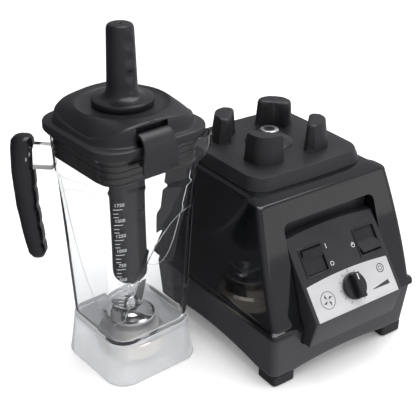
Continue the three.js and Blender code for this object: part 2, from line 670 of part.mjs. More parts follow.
const fieldCoil = (side) => coilSolid(
  side, motor.coilInner, motor.coilOuter, motor.coilHalfAngle,
  stackBottom - motor.coilOverhang, stackTop + motor.coilOverhang);

function motorStator() {
  const { stackHalfX, stackHalfY, stackCorner, coilInner, coilOuter, coilHalfAngle } = motor;
  const stack = loft([stackBottom, stackTop].map((z) => section(z, stackHalfX, stackHalfY, stackCorner)));
  const windows = [-1, 1].map((side) => coilSolid(
    side, coilInner - GAP, coilOuter + GAP, coilHalfAngle + 0.02, stackBottom - 1, stackTop + 1));
  const bore = rod(motor.armatureRadius + motor.airGap, stackBottom - 1, stackTop + 1, 0, 0, 28);
  return cut(solid(stack), solid(bore), ...windows, ...boltHoles());
}

const brushBottom = lowerBracketTop + GAP;
const brushMiddle = brushBottom + 11;

function brushHolder(side) {
  const inner = motor.commutatorRadius + 4;
  const holder = solid(box(-5.5, 5.5, inner, inner + 23, brushBottom, brushMiddle + 6));
  const channel = solid(box(-3.3, 3.3, inner - 5, inner + 21, brushMiddle - 4.3, brushMiddle + 4.3));
  const body = cut(holder, channel);
  return side > 0 ? body : solid(turnedHalfTurn(body));
}

/** The same solid turned half a turn about the drive axis. */
function turnedHalfTurn(body) {
  return piece('', body, null).geometry.rotateZ(Math.PI);
}

function carbonBrush(side) {
  const near = side * (motor.commutatorRadius + RUN);
  const far = side * (motor.commutatorRadius + 20);
  return solid(box(-3, 3, Math.min(near, far), Math.max(near, far), brushMiddle - 4, brushMiddle + 4));
}

function motorBolt(side) {
  const x = side * motor.boltX;
  const headBottom = lowerBracketBottom - 3 - GAP;
  const head = rod(4, headBottom, headBottom + 3, x, 0, 6);
  return join(solid(head), solid(rod(motor.boltRadius, headBottom + 2, bracketTop + 10, x, 0, 16)));
}

function fanShroud() {
  const { shroudRadius: inner, shroudWall, shroudHeight, bracketRadius } = motor;
  const top = lowerBracketBottom - GAP;
  const ring = solid(turned([
    [inner, top - shroudHeight], [inner + shroudWall, top - shroudHeight], [inner + shroudWall, top - 2.5],
    [bracketRadius, top - 2.5], [bracketRadius, top], [inner, top],
  ], { ring: true }));
  const boltRoom = [-1, 1].map((side) =>
    solid(rod(5.7, top - 6, top + 1, side * motor.boltX, 0, 12)));
  return cut(ring, ...boltRoom);
}

const shaftTop = padTop + socket.proud - 10;
const motorShaft = () => solid(rod(motor.shaftRadius, shaftBottom, shaftTop));

const onShaft = (radius, z0, z1, segments = 20) => cut(
  solid(rod(radius, z0, z1, 0, 0, segments)), solid(rod(motor.shaftRadius + GAP, z0 - 1, z1 + 1)));

function armatureCore() {
  const z0 = (stackBottom + stackTop - motor.armatureHeight) / 2;
  const slots = [];
  for (let i = 0; i < 8; i += 1) {
    const slot = box(motor.armatureRadius - 5, motor.armatureRadius + 2, -0.9, 0.9, z0 - 1, z0 + motor.armatureHeight + 1);
    slots.push(solid(slot.rotateZ((i / 8) * 2 * Math.PI)));
  }
  return cut(onShaft(motor.armatureRadius, z0, z0 + motor.armatureHeight, 24), ...slots);
}

const commutator = () => onShaft(motor.commutatorRadius, brushMiddle - motor.commutatorHeight / 2,
  brushMiddle + motor.commutatorHeight / 2);

function coolingFan() {
  const z0 = fanTop - motor.fanHeight;
  const hub = solid(rod(10, z0, fanTop));
  const disc = solid(rod(motor.fanRadius, fanTop - 2, fanTop, 0, 0, 28));
  const vanes = [];
  for (let i = 0; i < motor.fanBlades; i += 1) {
    const vane = box(8, motor.fanRadius - 1, -1, 1, z0 + 2, fanTop - 1);
    vanes.push(solid(vane.rotateZ((i / motor.fanBlades) * 2 * Math.PI)));
  }
  return cut(join(hub, disc, ...vanes), solid(rod(motor.shaftRadius + GAP, z0 - 1, fanTop + 1)));
}

function driveSocket() {
  const top = padTop + socket.proud;
  const bottom = top - socket.height;
  const body = turned([
    [0, bottom], [socket.radius, bottom], [socket.radius, top - 1], [socket.radius - 1, top], [0, top],
  ], { segments: 24 });
  return cut(
    solid(body),
    solid(rod(motor.shaftRadius + GAP, bottom - 1, shaftTop + GAP)),
    solid(plate(splineShape(socket.splineRadius + 0.5, socket.splineDepth, socket.splineTeeth), shaftTop, top + 1)),
  );
}

// ---------------------------------------------------------------------------------------------------
// Centering pad, with the four posts that the jar's foot drops over
// ---------------------------------------------------------------------------------------------------
/** The inside of the jar's foot at a height above the surface that it stands on. */
const footInsideHalf = (z) => THREE.MathUtils.lerp(
  jarFoot.bottomHalf - jarFoot.wall, jarFoot.topHalf + 0.3 - jarFoot.wall, z / jarFoot.plateHeight);

function centeringPad() {
  const low = topHeight + GAP;
  const sheetSection = (z, draft) => ({
    z, x: 0, y: pad.centreY, halfX: pad.topHalfX + draft, halfY: pad.topHalfY + draft, power: 2 / pad.squareness,
  });
  const sheet = solid(loft([
    sheetSection(low, pad.draft), sheetSection(padTop - 2, 1), sheetSection(padTop - 0.5, 0), sheetSection(padTop, -1.5),
  ]));
  const room = loft([-1, post.height + 2].map((z) => squareSection(
    padTop + z, footInsideHalf(z) - post.clearance, jarFoot.cornerRadius - jarFoot.wall)));
  const postSteps = [[-2, 0, 0], [post.height - 7, post.taper, 0], [post.height - 2, post.taper + 1.5, 0],
    [post.height, post.taper + 5, 0]];
  const posts = [45, 135, 225, 315].map((degrees) => {
    const body = loft(postSteps.map(([rise, taper]) => section(
      padTop + rise, post.halfDepth - taper, post.halfWidth - taper, 7, post.centre, 0)), 16);
    return solid(body.rotateZ(THREE.MathUtils.degToRad(degrees))).intersect(solid(room));
  });
  const boss = solid(turned([
    [0, padTop - 2], [pad.bossRadius, padTop - 2], [pad.bossRadius, padTop + 1], [pad.bossTop + 5, padTop + 5],
    [pad.bossTop + 1, pad.bossHeight + padTop - 1], [pad.bossTop, pad.bossHeight + padTop],
    [0, pad.bossHeight + padTop],
  ]));
  const ring = cut(join(...posts), solid(rod(post.innerRadius, padTop - 5, padTop + 60, 0, 0, 28)));
  return cut(join(sheet, ring, boss), solid(rod(socket.radius + 1, low - 1, padTop + 60)));
}

// ---------------------------------------------------------------------------------------------------
// Jar
// ---------------------------------------------------------------------------------------------------
/** Half width of the jar's outer face at a height. */
function jarHalf(z) {
  const { bottomHalf, neckHalf, bandHalf, mouthHalf } = jar;
  const { mapLinear } = THREE.MathUtils;
  if (z <= neckHeight) return mapLinear(z, jarBottom, neckHeight, bottomHalf, neckHalf);
  if (z <= bandHeight) return mapLinear(z, neckHeight, bandHeight, neckHalf, bandHalf);
  return mapLinear(z, bandHeight, rimHeight, bandHalf, mouthHalf);
}

/** Radius of the jar's outer face at its corner. */
const jarCorner = (z) => (jarHalf(z) - jar.cornerRadius) * Math.SQRT2 + jar.cornerRadius;

function spoutSections(inset) {
  const { depth, lip, halfWidth } = spout;
  const steps = [[0, 0.28, 0.2], [0.22, 0.62, 0.62], [0.55, 0.94, 0.88], [0.85, 1, 0.98], [1, 1, 1]];
  return steps.map(([up, out, wide]) => {
    const z = jar.height - (1 - up) * depth;
    const back = jarCorner(z) - jar.wall - 4;
    const tip = THREE.MathUtils.lerp(jarCorner(z) - 2, lip, out) - inset;
    return section(z, (tip - back) / 2, halfWidth * wide - inset, 14, (tip + back) / 2, 0);
  });
}

function jarSpout(inset = 0, lift = 0) {
  const sections = spoutSections(inset);
  if (inset > 0) {
    sections.shift();
    sections.push({ ...sections.at(-1), z: jar.height + 2 });
    sections[0].z += lift;
  }
  return solid(loft(sections, 20).rotateZ(-Math.PI / 4));
}

const bracketPin = (radius, reach) => new THREE.CylinderGeometry(radius, radius, 2 * reach, 10)
  .translate(bracket.pinAt, 0, jar.height - bracket.pinDepth).rotateZ((3 * Math.PI) / 4);

function jarBracket(margin) {
  const arm = box(bracket.start, bracket.end + margin, -bracket.halfWidth - margin, bracket.halfWidth + margin,
    jar.height - bracket.bottomDepth - margin, jar.height - bracket.topDepth + margin);
  return solid(arm.rotateZ((3 * Math.PI) / 4));
}

function jarBody() {
  const outerHeights = [jarBottom, neckHeight, bandHeight, rimHeight];
  const outer = outerHeights.map((z) => squareSection(z, jarHalf(z), jar.cornerRadius));
  const rim = [rimHeight + 0.5, jar.height].map((z) => squareSection(z, jar.rimHalf, jar.cornerRadius + 2));
  const innerHeights = [jarFloor + 4, neckHeight, bandHeight, rimHeight];
  const inner = innerHeights.map((z) => squareSection(z, jarHalf(z) - jar.wall, jar.cornerRadius - jar.wall));
  const floor = squareSection(jarFloor, jarHalf(jarFloor) - jar.wall - 4, jar.cornerRadius - jar.wall);
  const mouth = { ...inner.at(-1), z: jar.height + 2 };
  const vessel = join(solid(loft([...outer, ...rim])), jarSpout(), jarBracket(0));
  return cut(
    vessel,
    solid(loft([floor, ...inner, mouth])),
    jarSpout(spout.wall, 3),
    solid(rod(bladeUnit.bodyRadius + 0.4, jarBottom - 1, jarFloor + 1)),
    solid(bracketPin(bracket.pinRadius + GAP, 30)),
  );
}

function handleGrip() {
  // [share of the height, outer reach, inner reach, share of the half width]
  const stations = [
    [0, 103.5, 92, 0.6], [0.02, 106, 89, 0.85], [0.06, 107.5, 88, 1], [0.25, 112.3, 90.6, 1], [0.47, 116.5, 93.2, 1],
    [0.72, 118.1, 93.3, 1], [0.9, 116.9, 92.2, 1], [0.96, 115, 92, 0.9], [1, 110, 95, 0.6],
  ];
  const sections = stations.map(([up, outer, inner, wide]) => section(
    THREE.MathUtils.lerp(grip.bottom, jar.height - grip.topDepth, up), (outer - inner) / 2, grip.halfWidth * wide, 8,
    (outer + inner) / 2, 0));
  return cut(
    solid(loft(sections, 20).rotateZ((3 * Math.PI) / 4)),
    jarBracket(GAP),
    solid(bracketPin(bracket.pinRadius + GAP, 30)),
  );
}

const handlePin = () => solid(bracketPin(bracket.pinRadius, grip.halfWidth - 1));

function jarFootShell() {
  const { bottomHalf, topHalf, height, cornerRadius, wall, plateHeight, plateThickness } = jarFoot;
  const outer = [[0, bottomHalf - 0.8], [1.5, bottomHalf], [plateHeight, topHalf + 0.4], [height, topHalf]];
  const cavity = [-1, plateHeight].map((z) => squareSection(z, footInsideHalf(z), cornerRadius - wall));
  const seat = [plateHeight + plateThickness, height + 1].map((z) =>
    squareSection(z, jarHalf(z) + 0.45, jar.cornerRadius));
  return cut(
    solid(loft(outer.map(([z, half]) => squareSection(z, half, cornerRadius)))),
    solid(loft(cavity)),
    solid(loft(seat)),
    solid(rod(bladeUnit.bodyRadius + 0.6, plateHeight - 2, height + 1)),
  );
}

// ---------------------------------------------------------------------------------------------------
// Blade unit
// ---------------------------------------------------------------------------------------------------
const flangeBottom = jarFloor + GAP;
const flangeTop = flangeBottom + bladeUnit.flangeHeight;
const domeTop = flangeTop + 3;
const bladeSeat = domeTop + 2.2;

function bearingHousing() {
  const { bodyRadius, flangeRadius, bottom, boreRadius, shaftRadius } = bladeUnit;
  const neck = shaftRadius + 2;
  return solid(turned([
    [boreRadius, bottom], [bodyRadius, bottom], [bodyRadius, flangeBottom], [flangeRadius, flangeBottom],
    [flangeRadius, flangeTop - 1], [flangeRadius - 3, flangeTop], [14, flangeTop + 0.5], [11, domeTop],
    [neck, domeTop], [neck, flangeTop], [boreRadius, flangeTop],
  ], { ring: true }));
}

function sleeve(outer, z0, z1) {
  const bore = bladeUnit.shaftRadius + GAP;
  return solid(turned([[bore, z0], [outer, z0], [outer, z1], [bore, z1]], { ring: true, segments: 20 }));
}

const bladeBearing = () => sleeve(bladeUnit.boreRadius - GAP, bladeUnit.bottom + 3, bladeUnit.bottom + 19);
const bladeSeal = () => sleeve(bladeUnit.boreRadius - GAP, bladeUnit.bottom + 20, flangeTop - GAP);

function retainerNut() {
  const { nutRadius, nutBottom, nutRimInner, nutRimHeight, bodyRadius } = bladeUnit;
  const top = jarFoot.plateHeight - GAP;
  const bore = bodyRadius + GAP;
  const rimTop = nutBottom + nutRimHeight;
  const ring = solid(turned([
    [nutRimInner, nutBottom], [nutRadius - 1, nutBottom], [nutRadius, nutBottom + 1], [nutRadius, rimTop - 2],
    [nutRadius - 4, rimTop + 1], [nutRadius - 7, top], [bore, top], [bore, rimTop + 1], [nutRimInner - 1, rimTop - 2],
  ], { ring: true }));
  const notches = [0, 60, 120, 180, 240, 300].map((degrees) => solid(
    box(nutRadius - 2, nutRadius + 3, -4, 4, nutBottom - 1, rimTop - 4).rotateZ(THREE.MathUtils.degToRad(degrees))));
  return cut(ring, ...notches);
}

function bladeShaft() {
  const { shaftRadius, splineBottom, splineTop } = bladeUnit;
  const bar = solid(rod(shaftRadius, splineBottom + 1, bladeSeat + 12));
  const collar = solid(rod(6.5, domeTop + 0.6, bladeSeat - GAP));
  const spline = solid(plate(
    splineShape(socket.splineRadius, socket.splineDepth, socket.splineTeeth), splineBottom, splineTop));
  return join(bar, collar, spline);
}

/** A bent two-armed blade along X, its hub's underside at z0. */
function blade(z0, armAngle, turn) {
  const { bladeReach, bladeWidth, bladeThickness, shaftRadius } = bladeUnit;
  const hub = 9;
  const rise = (bladeReach - hub) * Math.tan(armAngle);
  const thick = bladeThickness / Math.cos(armAngle);
  const strip = outlineOf([
    [-bladeReach, z0 + rise], [-hub, z0], [hub, z0], [bladeReach, z0 + rise],
    [bladeReach, z0 + rise + thick], [hub, z0 + bladeThickness], [-hub, z0 + bladeThickness],
    [-bladeReach, z0 + rise + thick],
  ]);
  const half = bladeWidth / 2;
  const plan = outlineOf([
    [-hub, -half], [hub, -half], [bladeReach, half * 0.2], [bladeReach * 0.9, half * 0.7],
    [hub, half], [-hub, half], [-bladeReach, -half * 0.2], [-bladeReach * 0.9, -half * 0.7],
  ]);
  const body = solid(alongY(strip, -half, half).rotateZ(turn))
    .intersect(solid(plate(plan, z0 - 40, z0 + 40).rotateZ(turn)));
  return cut(body, solid(rod(shaftRadius + GAP, z0 - 5, z0 + 5)));
}

function acornNut(z0) {
  const { acornRadius, acornHeight, shaftRadius } = bladeUnit;
  const hex = solid(rod(acornRadius, z0, z0 + 7, 0, 0, 6));
  const dome = solid(turned([
    [0, z0 + 5], [acornRadius - 1.2, z0 + 5], [acornRadius - 1.2, z0 + 8], [acornRadius - 2.5, z0 + acornHeight - 1.2],
    [acornRadius - 5, z0 + acornHeight], [0, z0 + acornHeight],
  ], { segments: 16 }));
  return cut(join(hex, dome), solid(rod(shaftRadius + GAP, z0 - 1, bladeSeat + 12 + GAP)));
}

// ---------------------------------------------------------------------------------------------------
// Lid, gasket, latches and tamper
// ---------------------------------------------------------------------------------------------------
const latchPivotZ = lidBottom + lid.flangeHeight + latch.pivotRise;
const latchPinReach = latch.halfWidth + latch.pinBeyond;

function lidBody() {
  const { flangeHalf, flangeHeight, domeHalf, topHalf, plugHalf, plugDepth, plugWall } = lid;
  const shoulder = lidBottom + flangeHeight;
  const flange = [
    [lidBottom, flangeHalf - 0.8], [lidBottom + 1.5, flangeHalf], [shoulder - 2.5, flangeHalf - 0.5],
    [shoulder - 0.3, flangeHalf - 3],
  ].map(([z, half]) => squareSection(z, half, lid.cornerRadius));
  const crown = [
    [shoulder, domeHalf + 0.2], [shoulder + 7, domeHalf - 0.7], [lidTop - 7, domeHalf - 3.5],
    [lidTop - 3, domeHalf - 7], [lidTop - 0.8, topHalf + 2], [lidTop, topHalf],
  ].map(([z, half]) => squareSection(z, half, lid.domeCorner));
  const dome = solid(loft([...flange, ...crown]));
  const plugBottom = lidBottom - plugDepth;
  const plug = solid(loft([[plugBottom, plugHalf - 1.5], [lidBottom + 1, plugHalf]].map(([z, half]) =>
    squareSection(z, half, jar.cornerRadius - jar.wall))));
  const hollow = solid(loft([[plugBottom - 1, plugHalf - plugWall - 1.5], [wellFloor - lid.ceiling, plugHalf - plugWall]]
    .map(([z, half]) => squareSection(z, half, jar.cornerRadius - jar.wall - 2))));
  const collar = solid(rod(lidHoleRadius + 3, wellFloor - lid.ceiling - 7, wellFloor - 1, 0, 0, 28));
  const well = solid(turned([
    [0, wellFloor], [lid.wellRadius - 4, wellFloor], [lid.wellRadius, lidTop], [lid.wellRadius, lidTop + 5],
    [0, lidTop + 5],
  ]));
  const room = latch.halfWidth + latch.pocketGap;
  const pocketFloor = lidBottom + flangeHeight + 0.1;
  const pockets = [-1, 1].map((side) => {
    const inner = side * (latch.pivotR - latch.knuckleRadius - 0.6);
    const middle = side * latch.offset;
    return solid(box(
      middle - room, middle + room, Math.min(inner, side * 90), Math.max(inner, side * 90), pocketFloor, lidTop + 5));
  });
  const pinHoles = [-1, 1].map((side) => solid(
    rod(latch.pinRadius + GAP, -latchPinReach - 0.5, latchPinReach + 0.5, 0, 0, 10)
      .rotateY(Math.PI / 2).translate(side * latch.offset, side * latch.pivotR, latchPivotZ)));
  return cut(
    join(cut(join(dome, plug), hollow), collar),
    well, solid(rod(lidHoleRadius, 0, 400, 0, 0, 28)), ...pockets, ...pinHoles,
  );
}

function lidGasket() {
  const low = lidBottom - lid.plugDepth + gasket.bottomRise;
  const steps = 2 * gasket.ribs;
  const outside = [];
  for (let i = 0; i <= steps; i += 1) {
    const z = low + (i / steps) * gasket.height;
    const inset = gasket.clearance + (i % 2 === 0 ? gasket.ribDepth : 0);
    outside.push(squareSection(z, jarHalf(z) - jar.wall - inset, jar.cornerRadius - jar.wall));
  }
  const inside = [low - 1, low + gasket.height + 1].map((z) =>
    squareSection(z, lid.plugHalf + GAP, jar.cornerRadius - jar.wall));
  return cut(solid(loft(outside)), solid(loft(inside)));
}

/** A latch about its own pivot: -y is away from the lid, x along the hinge. */
function latchBody() {
  const profile = new THREE.Shape();
  profile.moveTo(0, 3);
  profile.lineTo(-4, 5.2);
  profile.quadraticCurveTo(-14.5, 3.5, -15.9, -10);
  profile.quadraticCurveTo(-16.8, -22, -15.6, -33);
  profile.lineTo(-13.2, -33);
  profile.lineTo(-13.6, -24.5);
  profile.lineTo(-7, -24.2);
  profile.lineTo(-7, -21.4);
  profile.lineTo(-13.5, -20.6);
  profile.quadraticCurveTo(-13.4, -8, -11.4, -3.6);
  profile.quadraticCurveTo(-8, 1.6, -4.4, 2);
  profile.lineTo(0, -2);
  const { halfWidth, knuckleRadius, pinRadius } = latch;
  const knuckle = rod(knuckleRadius, -halfWidth, halfWidth, 0, 0, 12).rotateY(Math.PI / 2);
  const pin = rod(pinRadius, -latchPinReach, latchPinReach, 0, 0, 8).rotateY(Math.PI / 2);
  return join(solid(alongX(profile, -halfWidth, halfWidth, 4)), solid(knuckle), solid(pin));
}

function tamperBody() {
  const { shaftRadius, tip, discRadius, discHeight, handleBottom, handleTop, handleHeight } = tamper;
  const rest = wellFloor + GAP;
  const top = rest + handleHeight;
  const profile = [
    [0, tip], [shaftRadius * 0.5, tip + 1.2], [shaftRadius * 0.82, tip + 4.5], [shaftRadius, tip + 11],
    [shaftRadius, rest], [discRadius - 1.5, rest], [discRadius, rest + 1.5], [discRadius, rest + discHeight - 1.5],
    [discRadius - 1.5, rest + discHeight], [handleBottom + 5, rest + discHeight + 1],
    [handleBottom + 1, rest + discHeight + 4], [handleBottom, rest + discHeight + 9], [handleTop, top - 7],
    [handleTop - 1.4, top - 2], [handleTop - 5, top], [2, top], [2, top - 6], [0, top - 6],
  ];
  return solid(turned(profile));
}

// ---------------------------------------------------------------------------------------------------
// Assembly
// ---------------------------------------------------------------------------------------------------
/** A group that places its pieces; its name says which frame it is. */
function frameOf(name, x, y, z, ...children) {
  const group = new THREE.Group();
  group.name = name;
  group.position.set(x, y, z);
  group.add(...children);
  return group;
}

function buildBase() {
  const group = new THREE.Group();
  group.add(
    piece('upper_housing', upperHousing(), glossBlack()),
    piece('lower_housing', lowerHousing(), satinGrey()),
    piece('control_console', controlConsole(), satinGrey()),
    piece('centering_pad', centeringPad(), matteCharcoal()),
    piece('bottom_cover', bottomCover(), darkPlastic()),
    piece('cord_gland', cordGland(), rubberBlack()),
    piece('control_board', controlBoard(), finish('#1f5a36', 0.5)),
    piece('overload_breaker', overloadBreaker(), darkPlastic()),
    piece('motor_stator', motorStator(), steel()),
    piece('field_coil_front', fieldCoil(-1), copper()),
    piece('field_coil_rear', fieldCoil(1), copper()),
    piece('motor_bracket_top',
      motorBracket(bracketUnderside, bracketTop, stackTop + GAP, bracketUnderside + 1), steel()),
    piece('motor_bracket_bottom',
      motorBracket(lowerBracketBottom, lowerBracketTop, lowerBracketTop - 1, stackBottom - GAP), steel()),
    piece('motor_bearing_top', motorBearing(bracketUnderside, bracketTop), steel()),
    piece('motor_bearing_bottom', motorBearing(lowerBracketBottom, lowerBracketTop), steel()),
    piece('fan_shroud', fanShroud(), darkPlastic()),
  );
  for (const [place, [x, y]] of Object.entries(footPlaces)) {
    group.add(piece(`foot_${place}`, footBlock(x, y), rubberBlack()));
    group.add(piece(`housing_screw_${place}`, housingScrew(x, y), steel()));
  }
  for (const [place, side] of [['front', -1], ['rear', 1]]) {
    group.add(piece(`brush_holder_${place}`, brushHolder(side), finish('#a8843c', 0.35, 1)));
    group.add(piece(`carbon_brush_${place}`, carbonBrush(side), finish('#1b1b1c', 0.7)));
  }
  group.add(piece('motor_bolt_left', motorBolt(-1), steel()), piece('motor_bolt_right', motorBolt(1), steel()));
  group.add(
    piece('motor_shaft', motorShaft(), steel()),
    piece('armature_core', armatureCore(), steel()),
    piece('commutator', commutator(), copper()),
    piece('cooling_fan', coolingFan(), darkPlastic()),
    piece('drive_socket', driveSocket(), steel()),
    piece('reset_button', resetButton(), finish('#a3201c', 0.4)),
  );
  return group;
}

function buildPanel() {
  const group = new THREE.Group();
  group.applyMatrix4(panelMatrix);
  const power = piece('power_rocker', rockerBody(), satinBlack());
  const pulse = piece('pulse_rocker', rockerBody(), satinBlack());
  power.rotation.x = rocker.faceAngle; // lower half pressed in: off
  pulse.rotation.x = -rocker.faceAngle; // lower half standing out, ready to press
  group.add(
    piece('dial_plate', dialPlate(), finish('#c9cacc', 0.35, 0.4)),
    piece('power_switch_body', switchBody(rocker.powerX), darkPlastic()),
    piece('pulse_switch_body', switchBody(rocker.pulseX), darkPlastic()),
    frameOf('power_rocker_pivot', rocker.powerX, rocker.alongPanel, -rocker.pivotDepth, power),
    frameOf('pulse_rocker_pivot', rocker.pulseX, rocker.alongPanel, -rocker.pivotDepth, pulse),
    frameOf('knob_axis', knob.x, knob.alongPanel, 0,
      piece('speed_knob', speedKnob(), satinBlack()), piece('speed_potentiometer', potentiometerBody(), steel())),
  );
  return group;
}

function buildJar() {
  const frontLatch = piece('latch_front', latchBody(), matteCharcoal());
  const rearLatch = piece('latch_rear', latchBody(), matteCharcoal());
  rearLatch.rotation.z = Math.PI;
  const lowerZ = bladeSeat;
  const upperZ = lowerZ + bladeUnit.bladeThickness + GAP;
  const group = frameOf('jar_axis', -(base.halfWidth + jar.clearOfBase), jar.y, 0,
    piece('jar_body', jarBody(), clearPlastic()),
    piece('handle_grip', handleGrip(), satinBlack()),
    piece('handle_pin', handlePin(), steel()),
    piece('jar_foot', jarFootShell(), frostedWhite()),
    piece('blade_retainer_nut', retainerNut(), steel()),
    piece('blade_bearing_housing', bearingHousing(), steel()),
    piece('blade_bearing', bladeBearing(), steel()),
    piece('blade_seal', bladeSeal(), rubberBlack()),
    piece('blade_shaft', bladeShaft(), steel()),
    piece('lower_blade', blade(lowerZ, THREE.MathUtils.degToRad(-8), Math.PI / 2 + 0.3), steel()),
    piece('upper_blade', blade(upperZ, THREE.MathUtils.degToRad(36), 0.3), steel()),
    piece('blade_nut', acornNut(upperZ + bladeUnit.bladeThickness + GAP), steel()),
    piece('lid', lidBody(), matteCharcoal()),
    piece('lid_gasket', lidGasket(), rubberBlack()),
    frameOf('latch_front_pivot', -latch.offset, -latch.pivotR, latchPivotZ, frontLatch),
    frameOf('latch_rear_pivot', latch.offset, latch.pivotR, latchPivotZ, rearLatch),
    piece('tamper', tamperBody(), satinBlack()));
  group.rotation.z = jar.turn;
  return group;
}

const pieces = new THREE.Group();
pieces.name = 'drive_axis';
pieces.add(buildBase(), buildPanel(), buildJar());

const blender = new THREE.Group();
blender.name = 'countertop_blender';
blender.add(pieces);
blender.updateMatrixWorld(true);
const bounds = new THREE.Box3().setFromObject(blender, true);
const centre = bounds.getCenter(new THREE.Vector3());
pieces.position.set(-centre.x, -centre.y, -bounds.min.z);
blender.updateMatrixWorld(true);

export default blender;
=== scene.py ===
# %% [markdown]
# # A countertop blender, piece by piece
# This lesson dresses the mechanical model of a countertop blender: a motor base, and beside it a square jar
# with its handle, lid, latches and tamper. The mechanical model gives every size and every joint. Here each
# piece that is seen gets its fine shape and its finish.

# %% The mechanical model
import bmesh
import bpy
import json
import math
from mathutils import Matrix, Vector


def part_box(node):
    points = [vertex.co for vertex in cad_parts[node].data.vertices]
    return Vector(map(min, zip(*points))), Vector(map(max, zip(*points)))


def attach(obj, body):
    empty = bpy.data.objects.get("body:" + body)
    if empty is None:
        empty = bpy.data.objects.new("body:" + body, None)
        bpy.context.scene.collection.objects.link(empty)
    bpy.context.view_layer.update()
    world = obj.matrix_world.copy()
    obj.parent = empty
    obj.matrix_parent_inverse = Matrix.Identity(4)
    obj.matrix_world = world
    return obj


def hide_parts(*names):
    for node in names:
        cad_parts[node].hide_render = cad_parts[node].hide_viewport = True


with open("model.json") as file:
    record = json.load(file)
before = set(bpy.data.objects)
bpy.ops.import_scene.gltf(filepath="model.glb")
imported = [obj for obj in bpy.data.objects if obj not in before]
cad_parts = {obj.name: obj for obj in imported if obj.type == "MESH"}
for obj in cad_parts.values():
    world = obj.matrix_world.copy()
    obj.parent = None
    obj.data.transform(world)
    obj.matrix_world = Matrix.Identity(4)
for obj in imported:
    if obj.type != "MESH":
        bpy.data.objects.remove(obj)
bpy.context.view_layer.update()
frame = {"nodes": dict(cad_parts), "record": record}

# %% [markdown]
# ## Where things stand
# Shapes are drawn in millimetres about the axis that suits them: the motor's axis, the jar's axis, or the
# tilted control panel. One matrix each carries them to their place in metres. Measuring those places from
# the mechanical model, rather than typing them again, keeps both models together when one changes.

# %% Four places to draw in
def middle_of(node):
    low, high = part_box(node)
    return (low + high) / 2


def on_the_table(node):
    spot = middle_of(node)
    return Vector((spot.x, spot.y, 0))


joints = {joint["name"]: joint for joint in frame["record"]["behaviour"]["joints"]}
millimetres = Matrix.Scale(0.001, 4)
jar_side = joints["latch_b_open"]["axis"]
jar_turn = Matrix.Rotation(math.atan2(jar_side[1], jar_side[0]), 4, "Z")
panel_tilt = math.radians(52.4)
knob_up_panel = 22.4

on_base = Matrix.Translation(on_the_table("motor_shaft")) @ millimetres
on_jar = Matrix.Translation(on_the_table("blade_shaft")) @ jar_turn @ millimetres
on_panel = (
    Matrix.Translation(joints["knob_turn"]["pos_m"])
    @ Matrix.Rotation(panel_tilt, 4, "X")
    @ millimetres
    @ Matrix.Translation((0, -knob_up_panel, 0))
)
half_turn = Matrix.Rotation(math.pi, 4, "Z")
on_latch_front = Matrix.Translation(joints["latch_a_open"]["pos_m"]) @ jar_turn @ millimetres
on_latch_rear = Matrix.Translation(joints["latch_b_open"]["pos_m"]) @ jar_turn @ half_turn @ millimetres
print("motor axis", tuple(round(v, 4) for v in on_base.translation), "jar axis",
      tuple(round(v, 4) for v in on_jar.translation))

# %% [markdown]
# ## Sections of a moulding
# Nearly every piece here is moulded plastic, and moulded walls are stacks of rounded rectangles. A section is
# a function of the share walked round it, from 0 to 1, so that sections can be bent, pushed and blended
# before any point is laid.

# %% Easing, rounded rectangles and circles
def ease(amount):
    """0 below 0, 1 above 1, and a smooth rise between."""
    amount = min(1.0, max(0.0, amount))
    return amount * amount * (3 - 2 * amount)


def mix(start, end, share):
    return start + (end - start) * share


def rounded(half_x, half_y, corner, z, x=0.0, y=0.0, bend=0.4):
    """The way round a rounded rectangle, by the share walked. bend is the share spent on corners."""
    straight = (1 - bend) / 2

    def at(share):
        quarter = int(share * 4) % 4
        walked = share * 4 % 1
        if quarter % 2:
            walked = 1 - walked
        if walked < straight:
            across, along = half_x, (half_y - corner) * walked / straight
        elif walked <= 1 - straight:
            angle = (walked - straight) / bend * math.pi / 2
            across = half_x - corner + corner * math.cos(angle)
            along = half_y - corner + corner * math.sin(angle)
        else:
            across, along = (half_x - corner) * (1 - walked) / straight, half_y
        left = -1 if quarter in (1, 2) else 1
        down = -1 if quarter in (2, 3) else 1
        return Vector((x + left * across, y + down * along, z))

    return at


def ring_of(radius, z):
    return lambda share: Vector((radius * math.cos(share * math.tau), radius * math.sin(share * math.tau), z))


# %% [markdown]
# ## Lofting
# A lathe could only make round walls, and a cube with bevels could not lean or swell. So `loft` starts from a
# circle, extrudes its edge once for each level, and lays every ring on its own section.

# %% Loft
def verts_in(geom):
    return [item for item in geom if isinstance(item, bmesh.types.BMVert)]


def loft(sections, count=96, closed=False):
    """A skin through the sections. closed joins the last to the first, otherwise both ends are capped."""
    bm = bmesh.new()
    walk = bm.verts.layers.float.new("walk")
    ring = bmesh.ops.create_circle(bm, segments=count, radius=1)["verts"]
    for vert in ring:
        share = math.atan2(vert.co.y, vert.co.x) / math.tau
        vert[walk] = round(share * count) % count / count
    first = edges = list(bm.edges)
    for number, section in enumerate(sections):
        if number:
            grown = bmesh.ops.extrude_edge_only(bm, edges=edges)["geom"]
            ring = verts_in(grown)
            fresh = set(ring)
            edges = [item for item in grown
                     if isinstance(item, bmesh.types.BMEdge) and fresh.issuperset(item.verts)]
        for vert in ring:
            vert.co = section(vert[walk])
    if closed:
        bmesh.ops.bridge_loops(bm, edges=first + edges)
    else:
        bmesh.ops.contextual_create(bm, geom=first)
        bmesh.ops.contextual_create(bm, geom=edges)
    bm.verts.layers.float.remove(bm.verts.layers.float["walk"])
    return bm


# %% [markdown]
# ## Turned pieces, blocks and bars
# Round pieces are spun from half of their outline, as a lathe would. Blocks and bars serve as plain pieces
# and as the tools that cut holes. All of them are drawn about the origin, then turned and moved.

